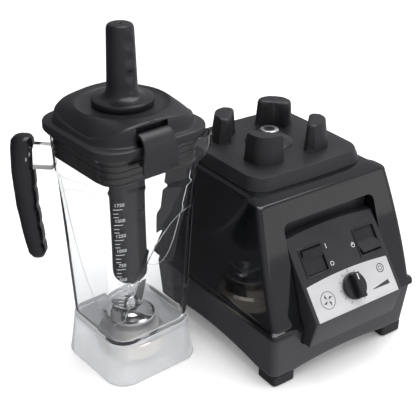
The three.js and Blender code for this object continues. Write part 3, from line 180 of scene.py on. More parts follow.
# %% Spin, block and bar
def spun(outline, steps=64, closed=False):
    """A round piece from (radius, height) points. closed joins the outline's end to its start, for a ring."""
    bm = bmesh.new()
    verts = [bm.verts.new((radius, 0, z)) for radius, z in outline]
    pairs = list(zip(verts, verts[1:]))
    if closed:
        pairs.append((verts[-1], verts[0]))
    edges = [bm.edges.new(pair) for pair in pairs]
    bmesh.ops.spin(bm, geom=verts + edges, cent=(0, 0, 0), axis=(0, 0, 1), angle=math.tau, steps=steps,
                   use_merge=True)
    bmesh.ops.remove_doubles(bm, verts=bm.verts, dist=1e-4)
    return bm


def block(x0, x1, y0, y1, z0, z1):
    bm = bmesh.new()
    bmesh.ops.create_cube(bm, size=1)
    bmesh.ops.scale(bm, vec=(x1 - x0, y1 - y0, z1 - z0), verts=bm.verts)
    bmesh.ops.translate(bm, vec=((x0 + x1) / 2, (y0 + y1) / 2, (z0 + z1) / 2), verts=bm.verts)
    return bm


def bar(radius, z0, z1, x=0.0, y=0.0, sides=48):
    bm = bmesh.new()
    bmesh.ops.create_cone(bm, cap_ends=True, segments=sides, radius1=radius, radius2=radius, depth=z1 - z0)
    bmesh.ops.translate(bm, vec=(x, y, (z0 + z1) / 2), verts=bm.verts)
    return bm


def turned_by(bm, angle, axis="Z"):
    bmesh.ops.rotate(bm, cent=(0, 0, 0), matrix=Matrix.Rotation(angle, 3, axis), verts=bm.verts)
    return bm


def gathered(parts):
    """One mesh from several."""
    whole = bmesh.new()
    for part in parts:
        mesh = bpy.data.meshes.new("part")
        part.to_mesh(mesh)
        part.free()
        whole.from_mesh(mesh)
        bpy.data.meshes.remove(mesh)
    return whole


def moved(bm, x, y, z=0.0):
    bmesh.ops.translate(bm, vec=(x, y, z), verts=bm.verts)
    return bm


# %% [markdown]
# ## Cutting, softening and setting in place
# Holes and sockets are cut with a Boolean on rough objects that are thrown away. A bevel on the sharp edges
# follows, because no moulded edge is truly sharp. `set_piece` then carries the mesh to its place, points its
# faces outwards and hangs it on its body, so that it moves with the mechanical model.

# %% Combine, soften, set
def combined(piece, tool, how="DIFFERENCE"):
    """Piece after a Boolean with tool. Both are used up."""
    rough = []
    for bm in (piece, tool):
        bmesh.ops.recalc_face_normals(bm, faces=bm.faces)
        mesh = bpy.data.meshes.new("rough")
        bm.to_mesh(mesh)
        bm.free()
        rough.append(bpy.data.objects.new("rough", mesh))
        bpy.context.scene.collection.objects.link(rough[-1])
    step = rough[0].modifiers.new("combine", "BOOLEAN")
    step.operation = how
    step.solver = "EXACT"
    step.object = rough[1]
    result = bmesh.new()
    result.from_object(rough[0], bpy.context.evaluated_depsgraph_get())
    for item in rough:
        mesh = item.data
        bpy.data.objects.remove(item)
        bpy.data.meshes.remove(mesh)
    return result


def soften(bm, width, sharper_than=35, segments=3, where=None):
    """Rounds the edges that are sharper than the angle, in degrees."""
    edges = [
        edge for edge in bm.edges
        if len(edge.link_faces) == 2
        and edge.calc_face_angle(0) > math.radians(sharper_than)
        and (where is None or where((edge.verts[0].co + edge.verts[1].co) / 2))
    ]
    bmesh.ops.bevel(bm, geom=edges, offset=width, offset_type="OFFSET", segments=segments, profile=0.5,
                    affect="EDGES", clamp_overlap=True, material=-1)
    return bm


def set_piece(bm, name, body, *nodes, place=on_base, smooth=35):
    """An object from a mesh in millimetres, riding on the body and standing in for the nodes named."""
    bmesh.ops.transform(bm, matrix=place, verts=bm.verts)
    bmesh.ops.remove_doubles(bm, verts=bm.verts, dist=2e-6)
    bmesh.ops.recalc_face_normals(bm, faces=bm.faces)
    mesh = bpy.data.meshes.new(name)
    bm.to_mesh(mesh)
    bm.free()
    mesh.shade_smooth()
    mesh.set_sharp_from_angle(angle=math.radians(smooth))
    piece = bpy.data.objects.new(name, mesh)
    bpy.context.scene.collection.objects.link(piece)
    if nodes:
        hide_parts(*nodes)
    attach(piece, body)
    print(name, len(mesh.polygons), "faces")
    return piece


# %% [markdown]
# ## Upper housing
# The gloss black hood over the motor leans in towards the top, carries a bead along its lower edge, and has
# a hand hold pressed into each side. The hand hold could be a Boolean, but its rolled edge would then need a
# bevel along a curve. A dense skin whose side points are eased inwards gives the roll for nothing.

# %% The housing's outer skin
seam, rim, turn_in, crown = 65.0, 194.6, 195.4, 198.2


def housing_ring(z, side=0.0, front=0.0, back=0.0, corner=6.0):
    """The wall at a height, moved in by separate amounts."""
    climb = min(1.0, max(0.0, (z - seam) / (rim - seam)))
    half_x = 99 - 9.5 * climb**2 - side
    y_front = -142 + 46 * climb**1.1 + front
    y_back = 83.5 - 3 * climb**2 - back
    return rounded(half_x, (y_back - y_front) / 2, corner, z, 0, (y_back + y_front) / 2, bend=0.14)


def with_hand_hold(section):
    def at(share):
        point = section(share)
        inside = 145 - math.dist((point.y, point.z), (54.5, 252))
        depth = 5 * ease(inside / 9) * ease((abs(point.x) - 79) / 5)
        point.x -= math.copysign(depth, point.x)
        return point

    return at


def housing_rings():
    bead = [(65, 3.0), (65.7, 3.5), (69.3, 3.5), (70.4, 3.1), (71, 2.2), (71.3, 0.9), (71.9, 0.2), (72.8, 0)]
    rings = [housing_ring(z, -out, -out, -min(out, 1.5)) for z, out in bead]
    walls = [75 + 2.4 * step for step in range(49)]
    rings += [housing_ring(z) for z in walls]
    turn = [(193.4, 0.0), (194.3, 0.35), (195.0, 1.0), (turn_in, 1.9)]
    rings += [housing_ring(z, inset, inset, inset, 6 + inset) for z, inset in turn]
    for step in range(1, 7):
        reach = step / 6
        rings.append(housing_ring(mix(turn_in, crown, 1 - (1 - reach) ** 1.4), mix(1.9, 9, reach),
                                  mix(1.9, 16, reach), mix(1.9, 4, reach), 8 + 4 * reach))
    return [with_hand_hold(ring) for ring in rings]


# %% [markdown]
# The hood is a shell, and the control panel sits in a window cut through its front. A second, plain loft
# hollows it out, but stops short of a frame round the window, so that the window has deep gloss sides.

# %% Hollow and window
window_half, window_top, window_low = 63.2, 173.3, 46.5


def window(margin, y_back, low=window_low, corner=8.0):
    top = window_top + margin
    half_height = (top - low + margin) / 2
    centre = top - half_height
    rings = [rounded(window_half + margin, half_height, corner + margin, -y, 0, centre)
             for y in (-180, y_back)]
    return turned_by(loft(rings, 64), math.pi / 2, "X")


def housing_hollow():
    levels = (60, 100, 140, 175, 195)
    hollow = loft([housing_ring(z, 8, 3, 3) for z in levels], 64)
    frame_block = window(2.8, -70)
    cut = bmesh.ops.bisect_plane(
        frame_block, geom=frame_block.verts[:] + frame_block.edges[:] + frame_block.faces[:],
        plane_co=(0, -128, seam), plane_no=(0, 0.94, -0.34), clear_outer=True)["geom_cut"]
    cut_edges = [item for item in cut if isinstance(item, bmesh.types.BMEdge)]
    bmesh.ops.contextual_create(frame_block, geom=cut_edges)
    return combined(hollow, frame_block)


housing = combined(loft(housing_rings(), 368), housing_hollow())
housing = combined(housing, window(0, -80))
housing = combined(housing, bar(14, 180, 210))


def on_window_rim(at):
    """The window's outer edge, down to just above the bead."""
    from_middle = max(abs(at.x), at.z - window_top + window_half)
    return (at.z > 73 and at.y < -80 and abs(from_middle - window_half) < 1
            and at.y < housing_ring(at.z)(0.75).y + 1.5)


soften(housing, 2.2, 50, 4, where=on_window_rim)
upper_housing = set_piece(housing, "housing_shell", "base", "upper_housing", smooth=30)

# %% [markdown]
# ## Lower housing
# The satin skirt under the hood stands on four feet, and its lower edge arches up between them. Each ring
# runs from that arched edge to the level seam, so one loft makes the arches with no cutting.

# %% The skirt
def skirt_ring(up, inset=0.0, deep=0.0):
    """The skirt's wall at a share of the way from the arched edge to the seam."""
    lean = mix(6, 2, up) + inset
    y_front, y_back = -145.5 + lean, 85 - lean
    half_x = 102.5 - lean
    corner = 8 - min(inset, 3) * 0.8
    flat = rounded(half_x, (y_back - y_front) / 2, corner, 0, 0, (y_back + y_front) / 2, bend=0.16)

    def at(share):
        point = flat(share)
        across = 1 - (point.x / 65.5) ** 2
        along = 1 - ((point.y + 30.25) / 80.25) ** 2
        on_side = abs(point.x) > half_x - 2
        arch = 7 * max(0, along) if on_side else 4.5 * max(0, across)
        point.z = mix(13 + arch + deep, 64.7 - deep, up)
        return point

    return at


outside = [skirt_ring(0, 0.9), skirt_ring(0, 0.25, 0.3), skirt_ring(0.02)]
outside += [skirt_ring(step / 10) for step in range(1, 10)]
outside += [skirt_ring(0.98), skirt_ring(1, 0.3, 0.1), skirt_ring(1, 0.9)]
inside = [skirt_ring(1, 3), skirt_ring(0.5, 3), skirt_ring(0, 3)]
skirt = combined(loft(outside + inside, 272, closed=True), window(0, -112, low=44))
lower_housing = set_piece(skirt, "skirt_shell", "base", "lower_housing", smooth=30)

# %% [markdown]
# ## Control console
# The console fills the window: a sloping panel with an arched top edge, and a chin that folds back under it.
# Its profile is drawn once, extruded across the window, then cut for the dial plate and the switches.

# %% Console body
console_half, console_top = 61.5, 158
nose_y, nose_z = -162.7, 81.7


def slope_y(z):
    """How far forward the panel stands at a height."""
    return nose_y + (z - nose_z) / math.tan(panel_tilt)


def cut_across(bm, cuts):
    """Divides every edge that runs along X."""
    lengthwise = [edge for edge in bm.edges if abs(edge.verts[0].co.x - edge.verts[1].co.x) > 1]
    bmesh.ops.subdivide_edges(bm, edges=lengthwise, cuts=cuts, use_grid_fill=True)


def extruded(outline, x0, x1):
    """An outline of (y, z) points pulled along X."""
    bm = bmesh.new()
    face = bm.faces.new([bm.verts.new((x0, y, z)) for y, z in outline])
    pulled = bmesh.ops.extrude_face_region(bm, geom=[face])["geom"]
    bmesh.ops.translate(bm, vec=(x1 - x0, 0, 0), verts=verts_in(pulled))
    return bm


def console_body():
    bm = extruded([(slope_y(console_top), console_top), (nose_y, nose_z), (-154, 48), (-124, 48), (-92, 150),
                   (-92, console_top)], -console_half, console_half)
    cut_across(bm, 23)
    for vert in bm.verts:
        if vert.co.z > console_top - 1:
            drop = 3.2 * (vert.co.x / console_half) ** 2
            vert.co.z -= drop
            if vert.co.y < -95:
                vert.co.y = slope_y(vert.co.z)
    soften(bm, 3.6, 60, 4, where=lambda at: abs(at.x) > console_half - 0.1 and at.y < -100 and at.z < 154)
    soften(bm, 1.0, 30, 3, where=lambda at: at.y < -100 and abs(at.x) < console_half - 0.5)
    return bm


# %% [markdown]
# The dial plate lies in a recess 0.7 mm deep, so the same outline, a little larger, cuts the recess and, at
# size, becomes the plate. The switch holes are square to the sloping panel, so they are cut from blocks laid
# in the panel's own frame and brought back to the base's.

# %% Recess, holes and the back wall
panel_to_base = on_base.inverted() @ on_panel
switch_places, switch_up_panel = (-35.5, 40), 62.9
print("the panel leans at", round(math.degrees(panel_tilt), 1), "degrees")


def plate_blank(margin, z0, z1):
    """The dial plate's outline: straight sides and foot, and a top edge that swells upwards."""
    bm = bmesh.new()
    bmesh.ops.create_grid(bm, x_segments=32, y_segments=1, size=0.5)
    half = 56.9 + margin
    for vert in bm.verts:
        across = vert.co.x * 2
        top = 39.1 + margin + 3.2 * (1 - across**2)
        vert.co = (across * half, top if vert.co.y > 0 else -margin, z0)
    pulled = bmesh.ops.extrude_face_region(bm, geom=bm.faces[:])["geom"]
    bmesh.ops.translate(bm, vec=(0, 0, z1 - z0), verts=verts_in(pulled))
    bmesh.ops.recalc_face_normals(bm, faces=bm.faces)
    return bm


def laid_on_panel(bm):
    bmesh.ops.transform(bm, matrix=panel_to_base, verts=bm.verts)
    return bm


def switch_block(x, half_x, half_y, z0, z1):
    """A block square to the panel, about a switch."""
    return block(x - half_x, x + half_x, switch_up_panel - half_y, switch_up_panel + half_y, z0, z1)


console = combined(console_body(), block(-console_half, console_half, -94.6, -92, 140, 173), "UNION")
console = combined(console, laid_on_panel(plate_blank(0.3, -1.0, 12)))
for switch_x in switch_places:
    console = combined(console, laid_on_panel(switch_block(switch_x, 14, 14.2, -30, 12)))
console = combined(console, laid_on_panel(bar(4.8, -30, 12, 0, knob_up_panel)))
console_shell = set_piece(console, "console_shell", "base", "control_console", smooth=30)

plate = combined(plate_blank(0, -0.7, 0.1), bar(5.1, -5, 5, 0, knob_up_panel))
soften(plate, 0.18, 40, 2, where=lambda at: at.z > 0)
face_plate = set_piece(plate, "face_plate", "base", "dial_plate", place=on_panel)

# %% [markdown]
# A glossy frame trims each switch hole. It is the difference of two blocks, softened, and stands proud of
# the panel by less than a millimetre.

# %% Switch frames
def switch_frame(x):
    outer = soften(switch_block(x, 16, 16.2, 0.02, 0.9), 0.45, 40, 2)
    return combined(outer, switch_block(x, 13.75, 13.95, -3, 3))


frames = gathered([switch_frame(x) for x in switch_places])
switch_frames = set_piece(frames, "switch_frames", "base", place=on_panel)

# %% [markdown]
# ## Printing on the controls
# Printed marks are thin ink. A painted image is not needed: flat shapes a tenth of a millimetre thick keep
# crisp edges at any distance. Digits start as a text curve, and rings are spun.

# %% Flat digits and rings
def flat_text(words, size):
    """Digits as a mesh, centred, a tenth of a millimetre thick."""
    curve = bpy.data.curves.new("digits", "FONT")
    curve.body = words
    curve.size = size
    curve.align_x = "CENTER"
    curve.align_y = "CENTER"
    curve.extrude = 0.05
    curve.resolution_u = 3
    letters = bpy.data.objects.new("digits", curve)
    bpy.context.scene.collection.objects.link(letters)
    mesh = bpy.data.meshes.new_from_object(letters)
    bm = bmesh.new()
    bm.from_mesh(mesh)
    bpy.data.objects.remove(letters)
    bpy.data.meshes.remove(mesh)
    return bm


def flat_ring(radius, width, z0, z1, x=0.0, y=0.0):
    near, far = radius - width / 2, radius + width / 2
    ring = spun([(near, z0), (far, z0), (far, z1), (near, z1)], 40, closed=True)
    return moved(ring, x, y)


# %% [markdown]
# The dial has plain ticks round the knob, a star of four blades on the left, and on the right a double ring
# and a wedge that grows with speed.

# %% Dial marks
ink_low, ink_high = 0.11, 0.2
star_place, ring_place = (-37, 19), (43, 29.5)
marks = []
for step in range(11):
    angle = math.radians(240 - 30 * step)
    length = 2.4 if step % 5 else 3.4
    tick = block(15.9, 15.9 + length, -0.3, 0.3, ink_low, ink_high)
    marks.append(moved(turned_by(tick, angle), 0, knob_up_panel))
for quarter in range(4):
    petal = bar(3.6, ink_low, ink_high, sides=3)
    bmesh.ops.scale(petal, vec=(1, 0.42, 1), verts=petal.verts)
    moved(petal, 4.1, 0.8)
    marks.append(moved(turned_by(petal, math.radians(90 * quarter + 20)), *star_place))
marks.append(flat_ring(9.2, 0.6, ink_low, ink_high, *star_place))
marks.append(flat_ring(4.6, 0.9, ink_low, ink_high, *ring_place))
marks.append(flat_ring(2.3, 0.6, ink_low, ink_high, *ring_place))
wedge = block(0, 24, -0.3, 0.3, ink_low, ink_high)
for vert in wedge.verts:
    vert.co.y *= 1 + 7 * vert.co.x / 24
marks.append(moved(turned_by(wedge, math.radians(4)), 24, 11))
dial_marks = set_piece(gathered(marks), "dial_marks", "base", place=on_panel)

# %% [markdown]
# Beside the power switch stand the usual bar and ring for on and off, and beside the pulse switch a ring with
# a bar through its top.

# %% Switch marks
sign_low, sign_high = 0.01, 0.1
signs = [
    block(-15.3, -14.6, 70, 75, sign_low, sign_high),
    flat_ring(2.1, 0.6, sign_low, sign_high, -14.9, 53),
    flat_ring(2.2, 0.6, sign_low, sign_high, 19.5, 63),
    block(19.2, 19.8, 63, 66.6, sign_low, sign_high),
]
switch_marks = set_piece(gathered(signs), "switch_marks", "base", place=on_panel)

# %% [markdown]
# ## Speed knob
# A round skirt with a finger bar across it. The bar is a softened block trimmed by the skirt's own circle,
# which is how the real one is moulded, and a pale line shows where it points.

# %% Knob
skirt_disc = soften(bar(14.6, 0.7, 5.7, sides=72), 1.1, 40, 3)
finger_bar = soften(block(-4, 4, -16, 16, 2, 14), 1.6, 40, 4)
finger_bar = combined(finger_bar, bar(13.7, 0, 20, sides=72), "INTERSECT")
knob = combined(skirt_disc, finger_bar, "UNION")
knob = combined(knob, bar(3.3, 0, 11.5))
at_knob = on_panel @ Matrix.Translation((0, knob_up_panel, 0))
grip_knob = set_piece(knob, "grip_knob", "knob", "speed_knob", place=at_knob)
pointer = set_piece(block(-0.5, 0.5, 5.5, 12.2, 13.95, 14.06), "knob_pointer", "knob", place=at_knob)

# %% [markdown]
# ## Centering pad
# The matt pad on top keeps the jar in place. Four posts fit inside the jar's foot, and a boss round the
# drive socket fills the middle. Posts and boss are joined to the sheet, then the shaft hole is bored.

# %% Pad
pad_top = 212.5
foot_inside = [(-2, 53.3), (32, 49.7)]


def pad_ring(z, grow):
    half_x, half_y = 74.5 + grow, 71.5 + grow
    flat = rounded(half_x, half_y, 20, z, 0, -2, bend=0.5)

    def at(share):
        point = flat(share)
        point.x *= 1 - 0.02 * (abs(point.y + 2) / half_y) ** 2
        point.y = -2 + (point.y + 2) * (1 - 0.03 * (abs(point.x) / half_x) ** 2)
        return point

    return at


def post(angle):
    levels = [(-2, -1.2, 5), (1.2, 0, 5), (4, 0.3, 5), (20, 1.4, 5), (26.6, 1.9, 5), (28.4, 2.5, 5),
              (29.5, 3.8, 4.5), (30, 5.6, 4)]
    rings = [rounded(13 - inset, 21 - inset, corner, pad_top + rise, 53, 0) for rise, inset, corner in levels]
    return turned_by(loft(rings, 48), math.radians(angle))


sheet_levels = [(198.5, 4.5), (202, 3.6), (206, 2.4), (209.5, 1.2), (211.3, 0.7), (212.2, 0.1),
                (pad_top, -0.9)]
pad = loft([pad_ring(z, grow) for z, grow in sheet_levels], 160)
posts = gathered([post(angle) for angle in (45, 135, 225, 315)])
room = loft([rounded(half - 0.8, half - 0.8, 19.6, pad_top + rise) for rise, half in foot_inside], 96)
posts = combined(combined(posts, room, "INTERSECT"), bar(42.5, 200, 260, sides=96))
soften(posts, 0.8, 50, 2, where=lambda at: at.z > pad_top + 2)
boss = spun([(0, 211), (27, 211), (27, 213), (24.5, 214.6), (20.4, 216.6), (16.6, 219.6), (15.4, 221.2),
             (14.6, 222), (0, 222)], 72)
pad = combined(combined(combined(pad, posts, "UNION"), boss, "UNION"), bar(11.6, 190, 240, sides=64))
centering_pad = set_piece(pad, "rubber_pad", "base", "centering_pad", smooth=32)

# %% [markdown]
# ## Drive socket
# A steel cup with twelve splines turns inside the boss. A spun cup with a toothed bore is exact enough; the
# teeth are the edge of a circle whose points step in and out.

# %% Socket
def splined_cutter(outer, depth, teeth, z0, z1):
    def at_height(z):
        def at(share):
            reach = outer if int(round(share * teeth * 4)) % 4 < 2 else outer - depth
            return Vector((reach * math.cos(share * math.tau), reach * math.sin(share * math.tau), z))
        return at
    return loft([at_height(z0), at_height(z1)], teeth * 4)


cup = spun([(0, 212), (10.5, 212), (10.5, 226.3), (10.1, 227.1), (9.4, 227.5), (0, 227.5)], 72)
cup = combined(cup, splined_cutter(7.0, 1.1, 12, 217.6, 230))
cup = combined(cup, bar(5.3, 205, 217.7))
spline_cup = set_piece(cup, "spline_cup", "rotor", "drive_socket")

# %% [markdown]
# ## The jar
# The jar is one clear moulding: square walls that open towards the top, a stiffening band under the rim, a
# V-shaped facet that meets at two corners, and a spout. All of it is one closed loft that runs up the inside
# and down the outside. The facets and the spout are eased into the rings as they are laid, because cutting
# them afterwards would leave ragged edges in a clear wall.

# %% Jar sizes
jar_floor, jar_under, jar_mouth = 48.5, 44.3, 267.5
jar_corner, jar_wall, band_out, draft = 19.0, 3.2, 2.1, 0.0405


def wall_half(z):
    """Half width of the jar's plain outer wall."""
    return 48.3 + (z - jar_under) * draft


print("the jar is", round(2 * wall_half(jar_mouth)), "mm wide at the mouth, its wall", jar_wall, "mm")

# %% [markdown]
# The V facet stands 0.4 mm proud of the wall above its two edges. Both edges start from the foot of the
# corner. One climbs slowly and then steeply, the other steeply and then slowly.

# %% The V facet
facet_foot = 77
side_rise, side_run, side_power = 146, 86, 2.6
front_rise, front_run, front_power = 114, 99, 1.9


def side_edge(away):
    """Height of the facet's edge on one wall: low at first, then steeper and steeper."""
    return facet_foot + side_rise * (away / side_run) ** side_power


def front_edge(away):
    """Height of the facet's edge on the other wall: steep at first, then flatter and flatter."""
    return facet_foot + front_rise * (1 - max(0.0, 1 - away / front_run) ** front_power)


def facet_push(point, half):
    """Raised V facet at the front corner and, turned half round, at the rear one."""
    if point.x + point.y > 0:
        point = Vector((-point.x, -point.y, point.z))
    if abs(point.x) >= abs(point.y):
        away = max(0.0, point.y + half)
        edge = side_edge(away)
        steep = side_rise * side_power / side_run * (away / side_run) ** (side_power - 1)
    else:
        away = max(0.0, point.x + half)
        edge = front_edge(away)
        steep = front_rise * front_power / front_run * max(0.0, 1 - away / front_run) ** (front_power - 1)
    over = (point.z - edge) / math.sqrt(1 + steep * steep)
    return 0.4 * ease(over / 6) * ease((102 - away) / 16)


# %% [markdown]
# The spout swells out of one corner, near the mouth. The inner wall follows the same rule as the outer one,
# so that the wall keeps its thickness there.

# %% Spout, outer wall, inner wall
def spout_push(point, half):
    """The spout swells out of the corner on the right."""
    sideways = abs(point.x + point.y) / math.sqrt(2)
    outward = (point.x - point.y) / math.sqrt(2)
    if outward < half * 1.3 * 0.55 or sideways > 24:
        return 0.0
    return 12.5 * ease((point.z - 231) / 22) * ease(1.12 - sideways / 21)


def jar_outer(z, flange=0.0):
    """The outer wall, pushed square to itself by the band, the facet and the flange of the rim."""
    half = wall_half(z)
    flat = rounded(half, half, jar_corner, z, bend=0.36)

    def at(share):
        point = flat(share)
        turn = math.atan2(point.y, point.x)
        band_edge = 225.5 + 6.5 * math.cos(2 * (turn - math.radians(225)))
        swell = spout_push(point, half)
        push = band_out * ease((z - band_edge + 3) / 8) + facet_push(point, half)
        push += flange * (1 - ease(swell / 6))
        if min(abs(point.x), abs(point.y)) > half - jar_corner * 0.9:
            centre_x = math.copysign(half - jar_corner, point.x)
            centre_y = math.copysign(half - jar_corner, point.y)
            point += Vector((point.x - centre_x, point.y - centre_y, 0)).normalized() * push
        elif abs(point.x) > abs(point.y):
            point.x += math.copysign(push, point.x)
        else:
            point.y += math.copysign(push, point.y)
        point += Vector((swell, -swell, 0)) / math.sqrt(2)
        return point

    return at


def jar_inner(z, inset=0.0):
    half = wall_half(z) + band_out * ease((z - 150) / 85) - jar_wall - inset
    flat = rounded(half, half, jar_corner - jar_wall, z, bend=0.36)

    def at(share):
        point = flat(share)
        swell = spout_push(point, half)
        return point + Vector((swell, -swell, 0)) / math.sqrt(2)

    return at


# %% [markdown]
# The rings start at the hole for the blade unit, go out across the floor, up the inside, over the rim, down
# the outside and back under the floor. The arm that carries the handle is joined on at the end.

# %% Jar skin
blade_hole = 18.3
inside_rings = [ring_of(blade_hole, jar_floor), ring_of(27, jar_floor), jar_inner(jar_floor, 6),
                jar_inner(jar_floor + 0.4, 3), jar_inner(jar_floor + 1.6, 1.1), jar_inner(jar_floor + 4)]
inside_rings += [jar_inner(56 + 9 * step) for step in range(16)]
inside_rings += [jar_inner(194 + 3.8 * step) for step in range(19)]
mouth_rings = [jar_inner(266.8), jar_inner(jar_mouth, -0.6), jar_outer(jar_mouth, 0.4),
               jar_outer(jar_mouth, 2.4), jar_outer(266.9, 3.0), jar_outer(264.6, 3.0), jar_outer(264.0, 2.3),
               jar_outer(263.6, 0.3)]
outside_rings = [jar_outer(262 - 1.6 * step) for step in range(135)]
under_rings = [jar_outer(45.6, -0.3), jar_outer(44.6, -1.4), jar_outer(jar_under, -3.2),
               ring_of(30, jar_under), ring_of(blade_hole, jar_under)]
vessel = loft(inside_rings + mouth_rings + outside_rings + under_rings, 304, closed=True)
arm = soften(block(72.2, 106, -9, 9, 222, 246), 2.0, 40, 3)
vessel = combined(vessel, turned_by(arm, math.radians(135)), "UNION")
clear_jar = set_piece(vessel, "clear_jar", "jar", "jar_body", place=on_jar, smooth=40)

# %% [markdown]
# A fine bead runs along the edge of each V facet. Its path climbs the wall on both sides of the corner, so it
# is a curve with a round bevel, made a mesh; the wall rules above give every point of the path.

# %% Facet beads
def facet_path(angle):
    path = []
    for step in range(41):
        away = side_run * (1 - step / 40)
        z = side_edge(away)
        path.append(Vector((-wall_half(z) - 0.35, -wall_half(z) + 6 + away * 0.98, z)))
    for step in range(1, 41):
        away = 97 * step / 40
        z = front_edge(away)
        path.append(Vector((-wall_half(z) + 6 + away * 0.93, -wall_half(z) - 0.35, z)))
    turn = Matrix.Rotation(angle, 4, "Z")
    return [turn @ point for point in path]


def bead_along(path, radius):
    curve = bpy.data.curves.new("bead", "CURVE")
    curve.dimensions = "3D"
    curve.bevel_depth = radius
    curve.bevel_resolution = 2
    curve.use_fill_caps = True
    spline = curve.splines.new("POLY")
    spline.points.add(len(path) - 1)
    for point, spot in zip(spline.points, path):
        point.co = (*spot, 1)
    rough = bpy.data.objects.new("bead", curve)
    bpy.context.scene.collection.objects.link(rough)
    mesh = bpy.data.meshes.new_from_object(rough)
    bm = bmesh.new()
    bm.from_mesh(mesh)
    bpy.data.objects.remove(rough)
    bpy.data.meshes.remove(mesh)
    return bm


beads = [bead_along(facet_path(turn), 0.55) for turn in (0, math.pi)]
facet_beads = set_piece(gathered(beads), "facet_beads", "jar", place=on_jar)

# %% [markdown]
# ## Volume scale
# Raised print near the front corner gives the volume. The digits are made flat, then each point is carried
# round the corner's arc, so that they lie on the wall instead of cutting into it.

# %% Scale
def round_the_corner(bm, height):
    """Bends a flat mark round the jar's front corner at a height."""
    centre = jar_corner - wall_half(height)
    radius = jar_corner + 1.15
    for vert in bm.verts:
        angle = math.radians(244) + vert.co.x / radius
        reach = radius + vert.co.z + vert.co.y * draft
        vert.co = (centre + reach * math.cos(angle), centre + reach * math.sin(angle), height + vert.co.y)
    return bm


scale_parts = []
for number, volume in enumerate(("1750", "1500", "1250", "1000", "750", "500", "250")):
    height = 219 - 17.3 * number
    scale_parts.append(round_the_corner(flat_text(volume, 5.2), height))
    for line_height, length in ((-4.6, 9), (-9, 5), (-13, 5)):
        line = block(-6, -6 + length, line_height - 0.3, line_height + 0.3, -0.05, 0.05)
        cut_across(line, 5)
        scale_parts.append(round_the_corner(line, height))
volume_scale = set_piece(gathered(scale_parts), "volume_scale", "jar", place=on_jar)

# %% [markdown]
# ## Jar foot
# The frosted foot under the jar is a skirt with a plate across it. The jar sits in the rebate above the
# plate and the posts of the pad go up inside the skirt. One closed loft again makes the whole wall.

# %% Foot
def foot_ring(half, z, corner=23.0):
    return rounded(half, half, corner, z, bend=0.45)


rebate = [(47.6, 44, 19), (48.9, 44.2, 19), (48.95, 46.5, 19), (49.0, 48.1, 19.2), (49.4, 48.5, 19.6)]
outer_wall = [(50.4, 48.5), (50.9, 48.1), (51.1, 45), (51.7, 38), (52.8, 26), (54.1, 13), (55.2, 4),
              (55.6, 1.6), (55.4, 0.5), (54.9, 0), (53.6, 0)]
inner_wall = [(53.2, 0.4, 20.4), (52, 10, 20.4), (50.4, 26, 20.4), (49.2, 38, 20.4), (48.0, 40.6, 19.5),
              (46.5, 41, 18.5)]
plate_top, plate_low, nut_hole = 44, 41, 18.6
foot_rings = [
    ring_of(nut_hole, plate_top), ring_of(30, plate_top),
    *[foot_ring(*place) for place in rebate + outer_wall + inner_wall],
    ring_of(30, plate_low), ring_of(nut_hole, plate_low),
]
foot_wall = loft(foot_rings, 176, closed=True)
frosted_foot = set_piece(foot_wall, "frosted_foot", "jar", "jar_foot", place=on_jar, smooth=50)

# %% [markdown]
# ## Handle
# A curved black grip is pinned to the jar's arm. It is lofted upwards, with its two sides and its width read
# from three short curves, and shallow waves on the side towards the jar give the fingers a hold.

# %% Grip
def through(points, value):
    """Smooth value between (place, value) points, in order of place."""
    for (place_a, a), (place_b, b) in zip(points, points[1:]):
        if value <= place_b:
            return mix(a, b, ease((value - place_a) / (place_b - place_a)) * 0.35
                       + 0.65 * (value - place_a) / (place_b - place_a))
    return points[-1][1]


outer_reach = [(0, 100.5), (0.015, 104), (0.05, 107.3), (0.25, 112.3), (0.47, 116.3), (0.72, 118), (0.9, 117),
               (0.965, 115.6), (0.99, 112.6), (1, 109.5)]
inner_reach = [(0, 94.5), (0.015, 91), (0.05, 88.6), (0.25, 90.6), (0.47, 93), (0.72, 93.3), (0.9, 92.4),
               (0.965, 92.4), (0.99, 94), (1, 97)]
grip_width = [(0, 4.5), (0.015, 8.4), (0.05, 11.6), (0.1, 12.5), (0.9, 12.5), (0.965, 11.8), (0.99, 9.2),
              (1, 5.5)]
grip_low, grip_top = 115, 256


def grip_ring(up):
    z = mix(grip_low, grip_top, up)
    finger = max(0.0, math.sin((z - 128) / 21.5 * math.tau)) * ease((z - 128) / 6) * ease((214 - z) / 6)
    inner, outer = through(inner_reach, up) + finger, through(outer_reach, up)
    width = through(grip_width, up)
    half = (outer - inner) / 2
    return rounded(half, width, min(half, width) * 0.92, z, (outer + inner) / 2, 0, bend=0.8)


stations = [0, 0.004, 0.015, 0.03, 0.05, *[0.065 + 0.0148 * step for step in range(59)],
            0.95, 0.965, 0.98, 0.99, 0.997, 1]
grip = turned_by(loft([grip_ring(up) for up in stations], 56), math.radians(135))
slot_for_arm = turned_by(block(60, 106.4, -9.3, 9.3, 221.7, 246.3), math.radians(135))
grip = combined(grip, slot_for_arm)
finger_grip = set_piece(grip, "finger_grip", "jar", "handle_grip", place=on_jar, smooth=45)

# %% [markdown]
# ## Lid
# The lid has a flat flange that covers the rim and a block that rises from it. The block's upper edge is a
# wave, high over each latch and low along the two sides between, and its top dips to a round well for the
# tamper's collar. Wave and well are two kinds of ring blended into each other, so the slope needs no cutting.

# %% The wave and the slope
crest = [(0, 281.5), (0.066, 281), (0.1, 284.2), (0.125, 288.6), (0.15, 293), (0.175, 295.6), (0.25, 296.2),
         (0.31, 293.8), (0.375, 288.6), (0.43, 284.2), (0.5, 281.5)]


def wave_height(share):
    """Height of the block's upper edge: high over the latches, low along the other two sides."""
    nearby = (through(crest, (share + shift) % 0.5) for shift in (-0.02, -0.01, 0, 0.01, 0.02))
    return sum(nearby) / 5


